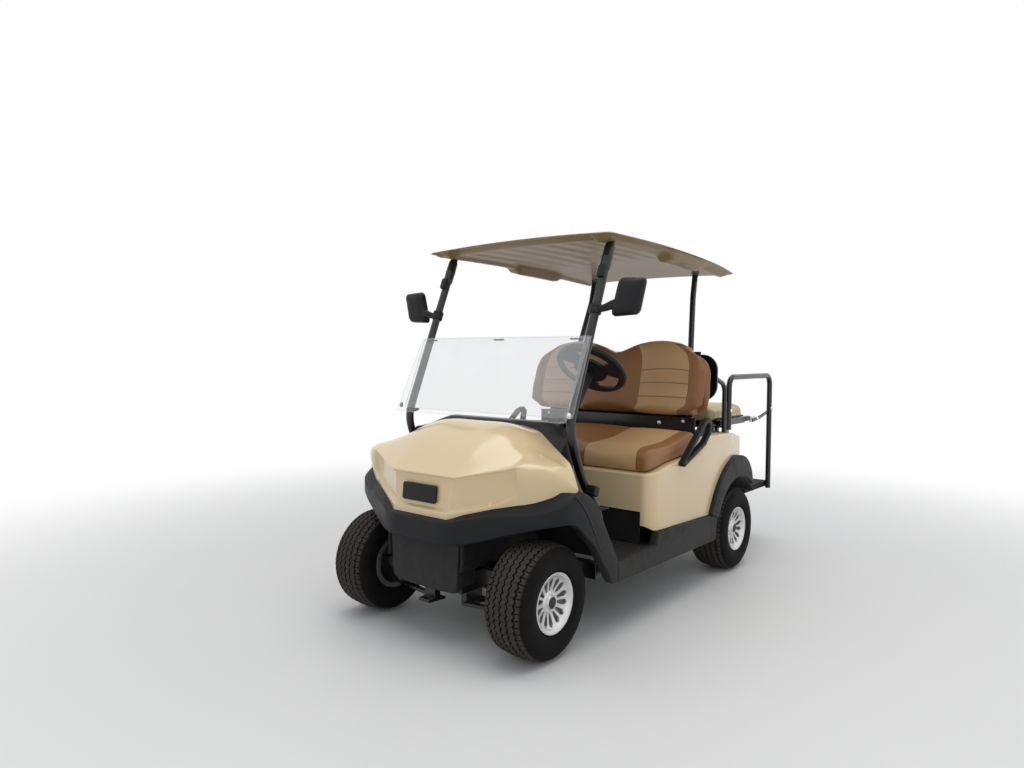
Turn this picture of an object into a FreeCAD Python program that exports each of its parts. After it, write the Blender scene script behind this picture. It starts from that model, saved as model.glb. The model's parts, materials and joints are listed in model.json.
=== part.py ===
import FreeCAD, Part
import Sketcher
import math
import os
import re

# Four-seat electric golf cart, in millimetres.
# Every piece is drawn in the vehicle's own frame: Y runs rearwards from the front axle,
# X to the vehicle's left and Z up from the ground. Each Placement then moves it so that
# the middle of the whole length is at Y = 0.

SIZES = (
    # name, value
    ("wheelbase", 1667),
    ("front_overhang", 230),
    ("rear_overhang", 753),
    ("front_half_track", 455.5),
    ("rear_half_track", 500),
    ("body_half_width", 585),
    ("seat_clearance", 0.3),
    ("tyre_radius", 228.6),
    ("tyre_width", 205),
    ("rim_flange_radius", 121),
    ("rim_barrel_radius", 103),
    ("rim_width", 184),
    ("rim_wall", 6),
    ("rim_face", 66),
    ("rim_dish", 9),
    ("hub_radius", 42),
    ("cap_radius", 24),
    ("spindle_radius", 17),
    ("spoke_pairs", 7),
    ("slot_width", 11),
    ("kingpin_x", 330),
    ("kingpin_radius", 9),
    ("steering_arm", 100),
    ("tie_rod_z", 196),
    ("tie_rod_radius", 8),
    ("rail_x", 160),
    ("rail_width", 60),
    ("rail_bottom", 225),
    ("rail_height", 78),
    ("kick_up", 72),
    ("rail_front", 150),
    ("rail_overhang", 413),
    ("cowl_wall", 5),
    ("cowl_slope", 0.47),
    ("cowl_low", 524),
    ("hood_top", 900),
    ("bumper_wall", 32),
    ("bumper_step", 25),
    ("bumper_height", 82),
    ("bumper_proud", 15),
    ("shield_half_width", 194.3),
    ("shield_low", 226),
    ("shield_top", 470),
    ("shield_wall", 4),
    ("tow_low", 162),
    ("tow_wall", 12),
    ("tow_bore_radius", 9.5),
    ("dash_inset", 133),
    ("dash_wall", 6),
    ("floor_top", 315),
    ("floor_wall", 12),
    ("sill_front", 374),
    ("rocker_inset", 25),
    ("rocker_proud", 17),
    ("rocker_low", 232),
    ("body_wall", 6),
    ("body_front", 700),
    ("body_overhang", 183),
    ("body_low", 384),
    ("arch_radius", 296),
    ("trim_lip", 22),
    ("kick_inset", 85),
    ("kick_top", 469),
    ("cushion_inset", 33),
    ("back_inset", 29),
    ("back_lead", 431),
    ("back_thickness", 108),
    ("back_low", 875),
    ("back_height", 392),
    ("back_tilt", 14),
    ("strut_radius", 17),
    ("strut_inset", 105),
    ("strut_lean_in", 7),
    ("rear_strut_radius", 16),
    ("roof_wall", 6),
    ("roof_rim", 26),
    ("roof_front", 382),
    ("roof_overhang", 126),
    ("roof_front_edge", 1712),
    ("roof_rear_edge", 1666),
    ("roof_front_inset", 37),
    ("roof_rear_inset", 80),
    ("roof_crown", 26),
    ("glass_thickness", 5),
    ("glass_inset", 85),
    ("glass_hinge_z", 1272),
    ("glass_low_z", 932),
    ("steering_inset", 275),
    ("wheel_y", 600),
    ("wheel_z", 1130),
    ("wheel_rake", 39),
    ("wheel_ring_radius", 158),
    ("wheel_grip", 14),
    ("column_radius", 24),
    ("hoop_gap", 55),
    ("hoop_radius", 16),
    ("hoop_lead", 78),
    ("hoop_overhang", 720),
    ("hoop_top", 1072),
    ("hoop_bend", 60),
    ("foot_top", 392),
    ("foot_lead", 383),
    ("foot_wall", 6),
    ("deck_z", 806),
    ("deck_lead", 12),
    ("deck_overhang", 483),
    ("deck_inset", 140),
    ("flip_pin_radius", 8),
    ("rear_cushion_height", 82),
    ("armrest_width", 34),
)

doc = FreeCAD.newDocument("golf_cart")
sheet = doc.addObject("Spreadsheet::Sheet", "Sizes")
for row, (name, value) in enumerate(SIZES, start=1):
    sheet.set("A%d" % row, name)
    sheet.set("B%d" % row, str(value))
    sheet.setAlias("B%d" % row, name)
doc.recompute()


class SheetSizes:
    """The driving sizes, read from the sheet by name."""

    def __getattr__(self, name):
        return float(sheet.get(name))


S = SheetSizes()
NAMES = {name for name, value in SIZES}
V = FreeCAD.Vector
PIECES = []
TO_MIDDLE = "(front_overhang - wheelbase - rear_overhang) / 2"

# Places that follow from the sizes: as formulas for what is bound, and as numbers for what is worked out.

SEAT_RUN = "(wheelbase - back_lead - body_front)"
ROCKER_IN = "(body_half_width - rocker_inset)"
ROCKER_OUT = "(body_half_width + rocker_proud)"
KICK_HALF = "(body_half_width - kick_inset)"
CUSHION_HALF = "(body_half_width - cushion_inset)"
BACK_HALF = "(body_half_width - back_inset)"
DECK_HALF = "(body_half_width - deck_inset)"
DECK_FRONT = "(wheelbase - deck_lead)"
DECK_REAR = "(wheelbase + deck_overhang)"

back_foot = S.wheelbase - S.back_lead
seat_run = back_foot - S.body_front
body_rear = S.wheelbase + S.body_overhang
dash_half = S.body_half_width - S.dash_inset
strut_x = S.body_half_width - S.strut_inset
roof_rear = S.wheelbase + S.roof_overhang
deck_half = S.body_half_width - S.deck_inset
hoop_x = deck_half + S.hoop_gap
deck_front = S.wheelbase - S.deck_lead
deck_rear = S.wheelbase + S.deck_overhang
foot_front = S.wheelbase + S.foot_lead
well_half = S.body_half_width - 105
wide = 1.3 * S.body_half_width
long = 2 * (S.wheelbase + S.rear_overhang)
tall = S.roof_front_edge + S.roof_crown


def behind(distance):
    """The y at a distance behind the rear axle, or before it where the distance is negative."""
    return S.wheelbase + distance


def on_seat(share):
    """The y at a share of the way from the body's front to the foot of the seat back."""
    return S.body_front + share * seat_run


def seat_formula(share):
    return "(body_front + %g * %s)" % (share, SEAT_RUN)


def bind(formula):
    """Write each named size in a formula as a cell of the sheet."""
    def cell(word):
        return "Sizes." + word.group() if word.group() in NAMES else word.group()
    return re.sub(r"[a-z_]+", cell, formula)


def tie(thing, **formulas):
    """Bind properties to formulas: a double underscore in a name stands for a dot."""
    for name, formula in formulas.items():
        thing.setExpression(name.replace("__", "."), bind(str(formula)))


def piece(thing, name, y="0"):
    """Label a finished sub-part and place it, drawn from y, in the part's own frame."""
    thing.Label = name
    tie(thing, Placement__Base__y=y + " + " + TO_MIDDLE)
    PIECES.append(thing)
    return thing


def feature(shape, name):
    """A sub-part whose shape is worked out here from the sheet's sizes."""
    thing = doc.addObject("Part::Feature", name)
    thing.Shape = shape
    return thing


def box(name, low, size):
    """A block from its low corner and its three sizes, all formulas."""
    thing = doc.addObject("Part::Box", name)
    tie(thing, Length=size[0], Width=size[1], Height=size[2],
        Placement__Base__x=low[0], Placement__Base__y=low[1], Placement__Base__z=low[2])
    return thing


def rod(name, start, direction, radius, length):
    """A round bar from a start point along a direction."""
    thing = doc.addObject("Part::Cylinder", name)
    thing.Placement = FreeCAD.Placement(V(0, 0, 0), FreeCAD.Rotation(V(0, 0, 1), V(*direction)))
    tie(thing, Radius=radius, Height=length, Placement__Base__x=start[0],
        Placement__Base__y=start[1], Placement__Base__z=start[2])
    return thing


def fuse(name, things):
    thing = doc.addObject("Part::MultiFuse", name)
    thing.Shapes = things
    return thing


def cut(name, base, tool):
    thing = doc.addObject("Part::Cut", name)
    thing.Base = base
    thing.Tool = tool
    return thing


def both_sides(name, thing):
    """One shape made of a piece on the left and its mirror image on the right."""
    image = doc.addObject("Part::Mirroring", name + "_image")
    image.Source = thing
    image.Normal = V(1, 0, 0)
    pair = doc.addObject("Part::Compound", name)
    pair.Links = [thing, image]
    return pair


def sketch(body, role, loops):
    """A sketch on one of the body's own planes. Each loop is closed, with formulas for points."""
    drawing = body.newObject("Sketcher::SketchObject", "Outline")
    plane = [item for item in body.Origin.OriginFeatures if item.Role == role][0]
    drawing.AttachmentSupport = [(plane, "")]
    drawing.MapMode = "FlatFace"
    first = 0
    for loop in loops:
        count = len(loop)
        spots = [V(math.cos(2 * math.pi * i / count), math.sin(2 * math.pi * i / count), 0)
                 for i in range(count)]
        for i in range(count):
            drawing.addGeometry(Part.LineSegment(spots[i], spots[(i + 1) % count]), False)
        for i in range(count):
            onward = first + (i + 1) % count
            drawing.addConstraint(Sketcher.Constraint("Coincident", first + i, 2, onward, 1))
        for i, (across, up) in enumerate(loop):
            for kind, formula in (("DistanceX", across), ("DistanceY", up)):
                spot = drawing.addConstraint(Sketcher.Constraint(kind, -1, 1, first + i, 1, 1.0))
                tie(drawing, **{"Constraints[%d]" % spot: formula})
        first += count
    return drawing


def slab(name, role, loops, start, length):
    """A body padded from one outline: start is the near side's place along the plane's normal."""
    body = doc.addObject("PartDesign::Body", name)
    drawing = sketch(body, role, loops)
    drawing.AttachmentOffset = FreeCAD.Placement(V(0, 0, 0), FreeCAD.Rotation())
    tie(drawing, AttachmentOffset__Base__z=start)
    pad = body.newObject("PartDesign::Pad", "Pad")
    pad.Profile = drawing
    tie(pad, Length=length)
    body.Tip = pad
    return body


def round_off(name, body, radius, wanted):
    """Round the edges of a body's last feature that the test picks."""
    doc.recompute()
    base = body.Tip
    edges = ["Edge%d" % (i + 1) for i, edge in enumerate(base.Shape.Edges) if wanted(edge)]
    fillet = body.newObject("PartDesign::Fillet", name)
    fillet.Base = (base, edges)
    tie(fillet, Radius=radius)
    body.Tip = fillet
    return body


def along(edge, axis):
    """Whether an edge is straight and lies along an axis."""
    if edge.Curve.TypeId != "Part::GeomLine":
        return False
    return abs(abs(edge.Curve.Direction[axis]) - 1) < 1e-6


def route(points, bend):
    """A wire through the points: straight runs joined by tangent arcs of one radius."""
    edges = []
    here = points[0]
    for i in range(1, len(points) - 1):
        before = (points[i - 1] - points[i]).normalize()
        after = (points[i + 1] - points[i]).normalize()
        half = before.getAngle(after) / 2
        back = bend / math.tan(half)
        start = points[i] + before * back
        end = points[i] + after * back
        middle = (before + after).normalize()
        low = points[i] + middle * (bend / math.sin(half) - bend)
        edges.append(Part.LineSegment(here, start).toShape())
        edges.append(Part.Arc(start, low, end).toShape())
        here = end
    edges.append(Part.LineSegment(here, points[-1]).toShape())
    return Part.Wire(edges)


def bent_tube(points, radius, bend):
    """A round tube swept along a route."""
    wire = route(points, bend)
    start = points[0]
    ring = Part.Wire(Part.Circle(start, points[1] - start, radius).toShape())
    return wire.makePipeShell([ring], True, True)


def mirrored(shape):
    return shape.mirror(V(0, 0, 0), V(1, 0, 0))


# Chassis: two rails joined by crossmembers, with hangers for the rear springs.

KICK = (
    # y along the rail's lower edge, rise above rail_bottom
    ("-rail_front", "0"), ("wheelbase - 270", "0"), ("wheelbase - 170", "kick_up"),
    ("wheelbase + 160", "kick_up"), ("wheelbase + 250", "0"), ("wheelbase + rail_overhang", "0"),
)
RAIL = [(y, "rail_bottom + " + rise) for y, rise in KICK]
RAIL += [(y, "rail_bottom + rail_height + " + rise) for y, rise in KICK[::-1]]
rails = [slab("rail_%d" % side, "YZ_Plane", [RAIL], "%d * rail_x - rail_width / 2" % side, "rail_width")
         for side in (-1, 1)]
CROSSMEMBERS = (
    # middle along the length, half width
    ("-rail_front + 25", "rail_x + 25"),
    ("sill_front - 14", "body_half_width - 70"),
    ("body_front + 60", "rail_x + 240"),
    ("wheelbase - 350", "rear_half_track - tyre_width / 2 - 37.5"),
    ("wheelbase + 380", "rear_half_track - tyre_width / 2 - 37.5"),
)
crosses = [box("cross_%d" % i, ("-(%s)" % half, "%s - 25" % middle, "rail_bottom + 10"),
               ("2 * (%s)" % half, "50", "rail_height - 10"))
           for i, (middle, half) in enumerate(CROSSMEMBERS)]
piece(fuse("chassis_joined", rails + crosses), "chassis_frame")
piece(box("axle_bracket", ("-rail_x + rail_width / 2 + seat_clearance", "-55", "205"),
          ("2 * rail_x - rail_width - 2 * seat_clearance", "110", "85")), "axle_bracket", "-55")

# Nose cowl: a nose of flat panels under a domed hood, hollow and open below and behind.

cowl_nose = S.front_overhang - S.bumper_step
COWL_FACE = (
    # height at the nose line, slope, front y, facet half width, corner x, corner y, side x, side y
    (S.cowl_low, S.cowl_slope, -cowl_nose, 151, 450, -49, S.body_half_width, 92),
    (S.cowl_low + 30, S.cowl_slope, -cowl_nose - 2, 155, 446, -54, S.body_half_width - 5, 87),
    (S.cowl_low + 40, S.cowl_slope, -cowl_nose + 7, 157, 443, -54, S.body_half_width - 7, 85),
    (S.cowl_low + 160, S.cowl_slope, -178, 178, 426, -70, S.body_half_width - 31, 62),
    (S.cowl_low + 170, S.cowl_slope, -188, 181, 424, -76, S.body_half_width - 33, 60),
    (S.cowl_low + 420, S.cowl_slope, -190, 182, 422, -78, S.body_half_width - 36, 60),
)
COWL_HOOD = (
    # y, middle height, dome's half width, height of its foot, shelf's half width, its height, side height
    (-260, S.hood_top - 250, 200, 648, 450, 640, 620),
    (-186, S.hood_top - 195, 240, 702, 450, 685, 640),
    (-130, S.hood_top - 152, 309, 731, 490, 705, 650),
    (-76, S.hood_top - 110, 424, 756, 520, 725, 655),
    (0, S.hood_top - 55, 430, 771, 535, 742, 655),
    (95, S.hood_top - 13, 440, 787, 548, 744, 650),
    (180, S.hood_top, 440, 800, 545, 750, 650),
    (275, S.hood_top - 14, 420, 805, 520, 770, 650),
)
COWL_TALL = S.hood_top + 60
COWL_EDGE = ((95, 640), (107, 705), (151, 780), (186, 820), (250, S.hood_top - 14), (252, COWL_TALL))
COWL_END = 220
HOOD_LOW = 400
FACET_TOLERANCE = 0.01
DRAWN_HALF = 585
broad = S.body_half_width / DRAWN_HALF


def cowl_section(row, inset, drop):
    """One closed section of the cowl, moved inwards by inset and down by drop."""
    height, slope, front, facet, corner_x, corner_y, side_x, side_y = row

    def spot(x, y):
        return V(x, y, height - drop + slope * (y + cowl_nose))
    nose = front + inset
    facet = facet * broad - inset / 3
    corner = (corner_x * broad - inset, corner_y + inset)
    side = (side_x - inset, side_y)
    middle = (side[0] - (side[0] - corner[0]) * 0.22, side[1] - (side[1] - corner[1]) * 0.62)
    left = [spot(facet, nose), spot(*corner), spot(*middle), spot(*side),
            spot(side[0], COWL_END + 4 * inset)]
    right = [V(-p.x, p.y, p.z) for p in left]
    edges = [Part.LineSegment(right[0], left[0]).toShape(),
             Part.LineSegment(left[0], left[1]).toShape(),
             Part.Arc(left[1], left[2], left[3]).toShape(),
             Part.LineSegment(left[3], left[4]).toShape(),
             Part.LineSegment(left[4], right[4]).toShape(),
             Part.LineSegment(right[4], right[3]).toShape(),
             Part.Arc(right[3], right[2], right[1]).toShape(),
             Part.LineSegment(right[1], right[0]).toShape()]
    return Part.Wire(edges)


def hood_section(row, drop):
    """One upright section under the hood: a dome between two shelves whose ends fall to the wings."""
    y, middle, dome, foot, shelf, shelf_z, side_z = row
    left = [V(dome * broad, y, foot - drop), V(shelf * broad, y, shelf_z - drop), V(wide, y, side_z - drop),
            V(wide, y, HOOD_LOW)]
    right = [V(-p.x, p.y, p.z) for p in left]
    edges = [Part.Arc(right[0], V(0, y, middle - drop), left[0]).toShape()]
    corners = left + right[::-1]
    edges += [Part.LineSegment(a, b).toShape() for a, b in zip(corners[:-1], corners[1:])]
    return Part.Wire(edges)


def cowl_solid(inset, drop):
    """The nose in flat panels, cut off above by the hood: their meeting is the crease."""
    nose = Part.makeLoft([cowl_section(row, inset, drop) for row in COWL_FACE], True, True)
    hood = Part.makeLoft([hood_section(row, drop) for row in COWL_HOOD], True, True)
    return nose.common(hood, FACET_TOLERANCE)


def side_prism(points, half):
    """A side view outline, as y and z, drawn across the whole width."""
    outline = [V(-half, y, z) for y, z in points]
    return Part.Face(Part.makePolygon(outline + outline[:1])).extrude(V(2 * half, 0, 0))


BEHIND_COWL = 600
rear_space = side_prism(COWL_EDGE + ((BEHIND_COWL, COWL_TALL), (BEHIND_COWL, COWL_EDGE[0][1])), wide)
cowl = cowl_solid(0, 0).cut(cowl_solid(S.cowl_wall, S.cowl_wall)).cut(rear_space)
piece(feature(cowl, "cowl_shell"), "front_cowl")

# Bumper and front wings: one dark moulding under the cowl that runs down behind each wheel.


def plan_prism(inset, low, high):
    """The moulding's plan outline, drawn from low to high."""
    half = S.body_half_width + S.bumper_proud - inset
    nose = -S.front_overhang + inset
    left = [V(166 - inset / 3, nose, low), V(470 - inset, -64 + inset, low),
            V(half - 26, 20, low), V(half, 92, low), V(half, 520, low)]
    right = [V(-p.x, p.y, p.z) for p in left]
    edges = [Part.LineSegment(right[0], left[0]).toShape(),
             Part.LineSegment(left[0], left[1]).toShape(),
             Part.Arc(left[1], left[2], left[3]).toShape(),
             Part.LineSegment(left[3], left[4]).toShape(),
             Part.LineSegment(left[4], right[4]).toShape(),
             Part.LineSegment(right[4], right[3]).toShape(),
             Part.Arc(right[3], right[2], right[1]).toShape(),
             Part.LineSegment(right[1], right[0]).toShape()]
    return Part.Face(Part.Wire(edges)).extrude(V(0, 0, high - low))


def cowl_line(y, drop):
    return S.cowl_low - drop + S.cowl_slope * (y + cowl_nose)


lip = S.seat_clearance
WING = (
    (-S.front_overhang - 5, cowl_line(-S.front_overhang - 5, S.bumper_height)),
    (-20, cowl_line(-20, S.bumper_height) + 4),
    (60, 527), (142, 462), (199, 416), (300, 290), (340, S.rocker_low + 2),
    (S.sill_front - lip, S.rocker_low), (S.sill_front - lip, 330), (330, 420), (280, 520), (236, 610),
    (206, 676), (150, cowl_line(150, lip)),
    (-S.front_overhang - 5, cowl_line(-S.front_overhang - 5, lip)),
)
moulding = plan_prism(0, 200, 760).cut(plan_prism(S.bumper_wall, 190, 770))
moulding = moulding.common(side_prism(WING, wide))
piece(feature(moulding, "wing_moulding"), "front_bumper")

# Lower nose shield: a shallow channel hung in front of the chassis.

SHIELD_EDGE = (
    # offset from the half width, y
    ("-29", "-182"), ("0", "-160"), ("0", "-70"), ("-shield_wall", "-70"), ("-shield_wall", "-158"),
    ("-31", "shield_wall - 182"),
)
shield_left = [("shield_half_width + (%s)" % offset, y) for offset, y in SHIELD_EDGE]
shield_right = [("-(%s)" % across, y) for across, y in shield_left[::-1]]
shield = slab("shield_channel", "XY_Plane", [shield_left + shield_right], "shield_low",
              "shield_top - shield_low")
shield_tie = box("shield_tie", ("-80", "-180", "rail_bottom + 12"), ("160", "180 - rail_front", "50"))
piece(fuse("shield_joined", [shield, shield_tie]), "front_shield")

# Tow bracket: a drilled tongue under the front crossmember.

tongue = slab("tongue", "XY_Plane", [(("-30", "-176"), ("30", "-176"), ("42", "-90"), ("-42", "-90"))],
              "tow_low", "tow_wall")
web = box("tow_web", ("-30", "-rail_front + 8", "tow_low + 6"), ("60", "34", "rail_bottom + 4 - tow_low"))
tow_hole = rod("tow_hole", ("0", "-158", "tow_low - tow_wall"), (0, 0, 1), "tow_bore_radius",
               "3 * tow_wall")
piece(cut("tow_drilled", fuse("tow_joined", [tongue, web]), tow_hole), "tow_bracket")

# Dash: a hollow moulding behind the cowl, open below, with a bulkhead and toe board under it.

DASH_GAP = 0.7
dash_lip = [(y + DASH_GAP, z) for y, z in COWL_EDGE[2:5]]
DASH_OUT = (dash_lip[-1], (290, 903), (385, 892), (420, 850), (396, 700), (352, 566))


def thick_line(points, wall):
    """A closed outline: a chain of points and the same chain a wall's thickness to its right."""
    inside = []
    for i, (y, z) in enumerate(points):
        before = points[max(i - 1, 0)]
        after = points[min(i + 1, len(points) - 1)]
        run = V(after[0] - before[0], after[1] - before[1], 0).normalize()
        inside.append((y + run.y * wall, z - run.x * wall))
    return list(points) + inside[::-1]


dash = side_prism(thick_line(DASH_OUT, S.dash_wall), dash_half)
cheek = side_prism(list(DASH_OUT) + [(330, 566), (330, 690), (190, 745)] + dash_lip[:-1], dash_half)
cheeks = cheek.cut(side_prism([(0, 500), (500, 500), (500, 950), (0, 950)], dash_half - S.dash_wall))
pocket = Part.makeBox(240, 60, 80, V(-400, 370, 740))
tray = Part.makeBox(150, 60, 70, V(40, 370, 740))
piece(feature(dash.fuse(cheeks).cut(pocket).cut(tray).removeSplitter(), "dash_shell"), "dash_panel")
TOE = ((346, 566 - S.seat_clearance), (338, 478), (424, S.floor_top - S.floor_wall + 2))
toe = side_prism(thick_line(TOE, -5), dash_half)
piece(feature(toe, "toe_board"), "toe_board")

# Floor pan with its raised ribs in the footwell.

pan = box("pan", ("-%s + seat_clearance" % ROCKER_IN, "sill_front + 55", "floor_top - floor_wall"),
          ("2 * %s - 2 * seat_clearance" % ROCKER_IN, "wheelbase - 322 - sill_front - 55", "floor_wall"))
RIB_PITCH = 60
RIB_WIDTH = 24
RIBS = 16
ribs = [box("rib_%d" % i, ("%g" % ((i - (RIBS - 1) / 2) * RIB_PITCH - RIB_WIDTH / 2), "sill_front + 76",
                           "floor_top - 1"), ("%g" % RIB_WIDTH, "body_front - sill_front - 96", "4"))
        for i in range(RIBS)]
piece(fuse("floor_joined", [pan] + ribs), "floor_pan")

# Rockers: the dark sills under each door opening.

SILL = (
    ("sill_front", "rocker_low"), ("wheelbase - 567", "rocker_low - 8"),
    ("wheelbase - 301", "rocker_low - 8"), ("wheelbase - 295", "300"), ("wheelbase - 275", "350"),
    ("wheelbase - 377", "body_low - 20"), ("body_front + 32", "body_low - 3"),
    ("body_front + 12", "floor_top + 6"), ("sill_front", "floor_top + 4"),
)
sill = slab("sill", "YZ_Plane", [SILL], ROCKER_IN, "%s - %s" % (ROCKER_OUT, ROCKER_IN))
piece(both_sides("sills", sill), "rocker_panels")

# Rear body: a hollow shell, open below, with the front seat's well in its top.

FRONT_TOP = 644
SEAT_LINE = (
    # share of the seat's run, height
    (0.3433, 677), (0.888, 699),
)
REAR_TOP = (
    # distance behind the rear axle, height
    (-357, 758), (-208, 776), (-47, 768), (149, 728), (175, 690),
)
BODY_TOP = [(S.body_front, FRONT_TOP)] + [(on_seat(share), z) for share, z in SEAT_LINE]
BODY_TOP += [(behind(distance), z) for distance, z in REAR_TOP] + [(body_rear, 600), (body_rear - 4, 440)]
BODY_LOW = [(behind(-267), 362), (behind(-377), S.body_low - 19), (S.body_front + 32, S.body_low),
            (S.body_front, S.body_low + 22)]
BODY_TAPER = 40


def body_plan(inset, low, high):
    """The rear body's plan outline with round corners."""
    half = S.body_half_width - inset
    tail = half - BODY_TAPER
    front = S.body_front + inset
    rear = body_rear - inset
    near = 70 - inset
    far = 60 - inset
    cosine = math.cos(math.pi / 4)
    left = [V(half - near, front, low), V(half - near + near * cosine, front + near - near * cosine, low),
            V(half, front + near, low), V(half, behind(-107), low), V(tail, rear - far, low),
            V(tail - far + far * cosine, rear - far + far * cosine, low), V(tail - far, rear, low)]
    right = [V(-p.x, p.y, p.z) for p in left]
    edges = [Part.LineSegment(right[0], left[0]).toShape(), Part.Arc(*left[0:3]).toShape(),
             Part.LineSegment(left[2], left[3]).toShape(), Part.LineSegment(left[3], left[4]).toShape(),
             Part.Arc(*left[4:7]).toShape(), Part.LineSegment(left[6], right[6]).toShape(),
             Part.Arc(*right[6:3:-1]).toShape(), Part.LineSegment(right[4], right[3]).toShape(),
             Part.LineSegment(right[3], right[2]).toShape(), Part.Arc(*right[2::-1]).toShape()]
    return Part.Face(Part.Wire(edges)).extrude(V(0, 0, high - low))


shell_out = body_plan(0, 300, 900).common(side_prism(BODY_TOP + BODY_LOW, wide))
shoulders = [edge for edge in shell_out.Edges
             if edge.CenterOfMass.z > 600 and abs(abs(edge.CenterOfMass.x) - S.body_half_width) < 1]
shell_out = shell_out.makeFillet(14, shoulders)
shell_in = body_plan(S.body_wall, 200, 900).common(
    side_prism([(y, z - S.body_wall) for y, z in BODY_TOP] + [(body_rear, 250), (S.body_front, 250)], wide))
arch = Part.makeCylinder(S.arch_radius, 2 * wide, V(-wide, S.wheelbase, S.tyre_radius), V(1, 0, 0))
kick_half = S.body_half_width - S.kick_inset
notch = Part.makeBox(2 * kick_half + 40, 60, S.kick_top - 300, V(-kick_half - 20, S.body_front - 30, 300))
seat_well = Part.makeBox(2 * well_half, 0.784 * seat_run, 200, V(-well_half, on_seat(0.093), 600))
bag_well = Part.makeBox(2 * well_half - 60, 400, 300, V(30 - well_half, behind(-297), 600))
rear_body = shell_out.cut(shell_in).cut(arch).cut(notch).cut(seat_well).cut(bag_well)
piece(feature(rear_body, "rear_shell"), "rear_body")
piece(box("kick", ("-%s - 18" % KICK_HALF, "body_front + 2", "floor_top + seat_clearance"),
          ("2 * %s + 36" % KICK_HALF, "4", "kick_top - floor_top - 2 * seat_clearance")), "kick_panel",
      "body_front + 2")
LID_TOP = [(behind(distance), z + S.seat_clearance)
           for distance, z in ((-322, 762.2), REAR_TOP[1], REAR_TOP[2], (128, 732.3))]
LID = thick_line(LID_TOP, -3)
piece(feature(side_prism(LID, well_half + 30), "well_lid"), "well_cover")
above_lid = side_prism([(y, z + S.seat_clearance) for y, z in LID[:3:-1]]
                       + [(behind(128), tall), (behind(-322), tall)], wide)

# Rear wing trims: dark lips round the rear wheel openings.

TRIM = (
    # distance behind the rear axle, height
    (-367, 366), (-322, 445), (-234, 548), (-137, 612), (-27, 640), (90, 622), (163, 560),
    (195, 470), (183, 380), (-267, 366),
)
trim_arch = Part.makeCylinder(S.arch_radius - 4, 2 * wide, V(-wide, S.wheelbase, S.tyre_radius),
                              V(1, 0, 0))
trim = side_prism([(behind(distance), z) for distance, z in TRIM], S.body_half_width + S.trim_lip)
trim_in = S.body_half_width + S.seat_clearance
trim = trim.cut(trim_arch).cut(Part.makeBox(2 * trim_in, 750, 500, V(-trim_in, behind(-467), 300)))
sill_tail = ((-467, 300), (-273, 352), (-377, 365.3), (-467, 365.3))
trim = trim.cut(side_prism([(behind(distance), z) for distance, z in sill_tail], wide))
piece(feature(trim, "wing_trims"), "rear_wing_trims")

# Battery pack under the front seat: one plain block.

BATTERY_FRONT = seat_formula(0.168)
piece(box("batteries", ("-360", BATTERY_FRONT, "floor_top + seat_clearance"),
          ("720", "0.746 * " + SEAT_RUN, "290")), "battery_pack", BATTERY_FRONT)

# Front seat: a cushion and a back of closed soft solids, with a steel back frame.

CUSHION = (
    # share of the seat's run, height
    (0.022, 646.7), (0.3433, 677.4), (0.888, 699.4), (0.959, 716.2), (0.974, 800), (0.896, 818),
    (0.485, 776), (0.075, 766), (0.011, 738), (0.004, 672),
)
cushion = slab("cushion", "YZ_Plane", [[(seat_formula(share), "%g" % z) for share, z in CUSHION]],
               "-" + CUSHION_HALF, "2 * " + CUSHION_HALF)
round_off("cushion_round", cushion, "0.056 * " + SEAT_RUN,
          lambda edge: not along(edge, 0) and edge.CenterOfMass.z > 740 and edge.CenterOfMass.z < 817)
piece(cushion, "seat_cushion")

BACK = (
    # share of the half width, offset from it, height
    (1, -60, "0"), (1, 0, "70"), (1, -12, "290"), (1, -110, "back_height - 14"), (0.552, 0, "back_height"),
    (0.306, 0, "back_height - 16"),
)
right_half = [("%g * %s + %g" % (share, BACK_HALF, offset), z) for share, offset, z in BACK]
left_half = [("-(%s)" % across, z) for across, z in right_half[::-1]]
back_dip = [("0", "back_height - 58")]
back = slab("back", "XZ_Plane", [right_half + back_dip + left_half], "0", "back_thickness")
round_off("back_round", back, "30", lambda edge: not along(edge, 1))
back.Placement = FreeCAD.Placement(V(0, 0, 0), FreeCAD.Rotation(V(1, 0, 0), S.back_tilt))
tie(back, Placement__Rotation__Angle="-back_tilt", Placement__Base__z="back_low")
back.Label = "seat_back"
tie(back, Placement__Base__y="wheelbase - back_lead + back_thickness + " + TO_MIDDLE)
PIECES.append(back)

lean = math.tan(math.radians(S.back_tilt))


def back_y(z):
    """The y of the seat back's rear face at a height."""
    return back_foot + S.back_thickness + lean * (z - S.back_low)


BOARD_LOW = 858
BOARD_HIGH = 1215
BOARD_WALL = 10
PLATE_WALL = 6
SHELF_WALL = 8
board_half = S.body_half_width - 115
board_y = [back_y(z) + 0.4 for z in (BOARD_LOW, BOARD_HIGH)]
board = side_prism([(board_y[0], BOARD_LOW), (board_y[1], BOARD_HIGH),
                    (board_y[1] + BOARD_WALL, BOARD_HIGH), (board_y[0] + BOARD_WALL, BOARD_LOW)], board_half)
plate_y = back_foot + 60
plate_low = 699 + (758 - 699) * (plate_y - on_seat(0.888)) / (behind(-357) - on_seat(0.888)) + 3.2
plate_half = board_half + 35
plate = Part.makeBox(2 * plate_half, PLATE_WALL, BOARD_LOW + SHELF_WALL - plate_low,
                     V(-plate_half, plate_y, plate_low))
shelf = Part.makeBox(2 * board_half, board_y[0] + BOARD_WALL / 2 - plate_y, SHELF_WALL,
                     V(-board_half, plate_y, BOARD_LOW))
piece(feature(board.fuse(plate).fuse(shelf).removeSplitter(), "seat_steel"), "seat_back_frame")

# Armrests: a flat loop on each side of the front seat.

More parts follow.
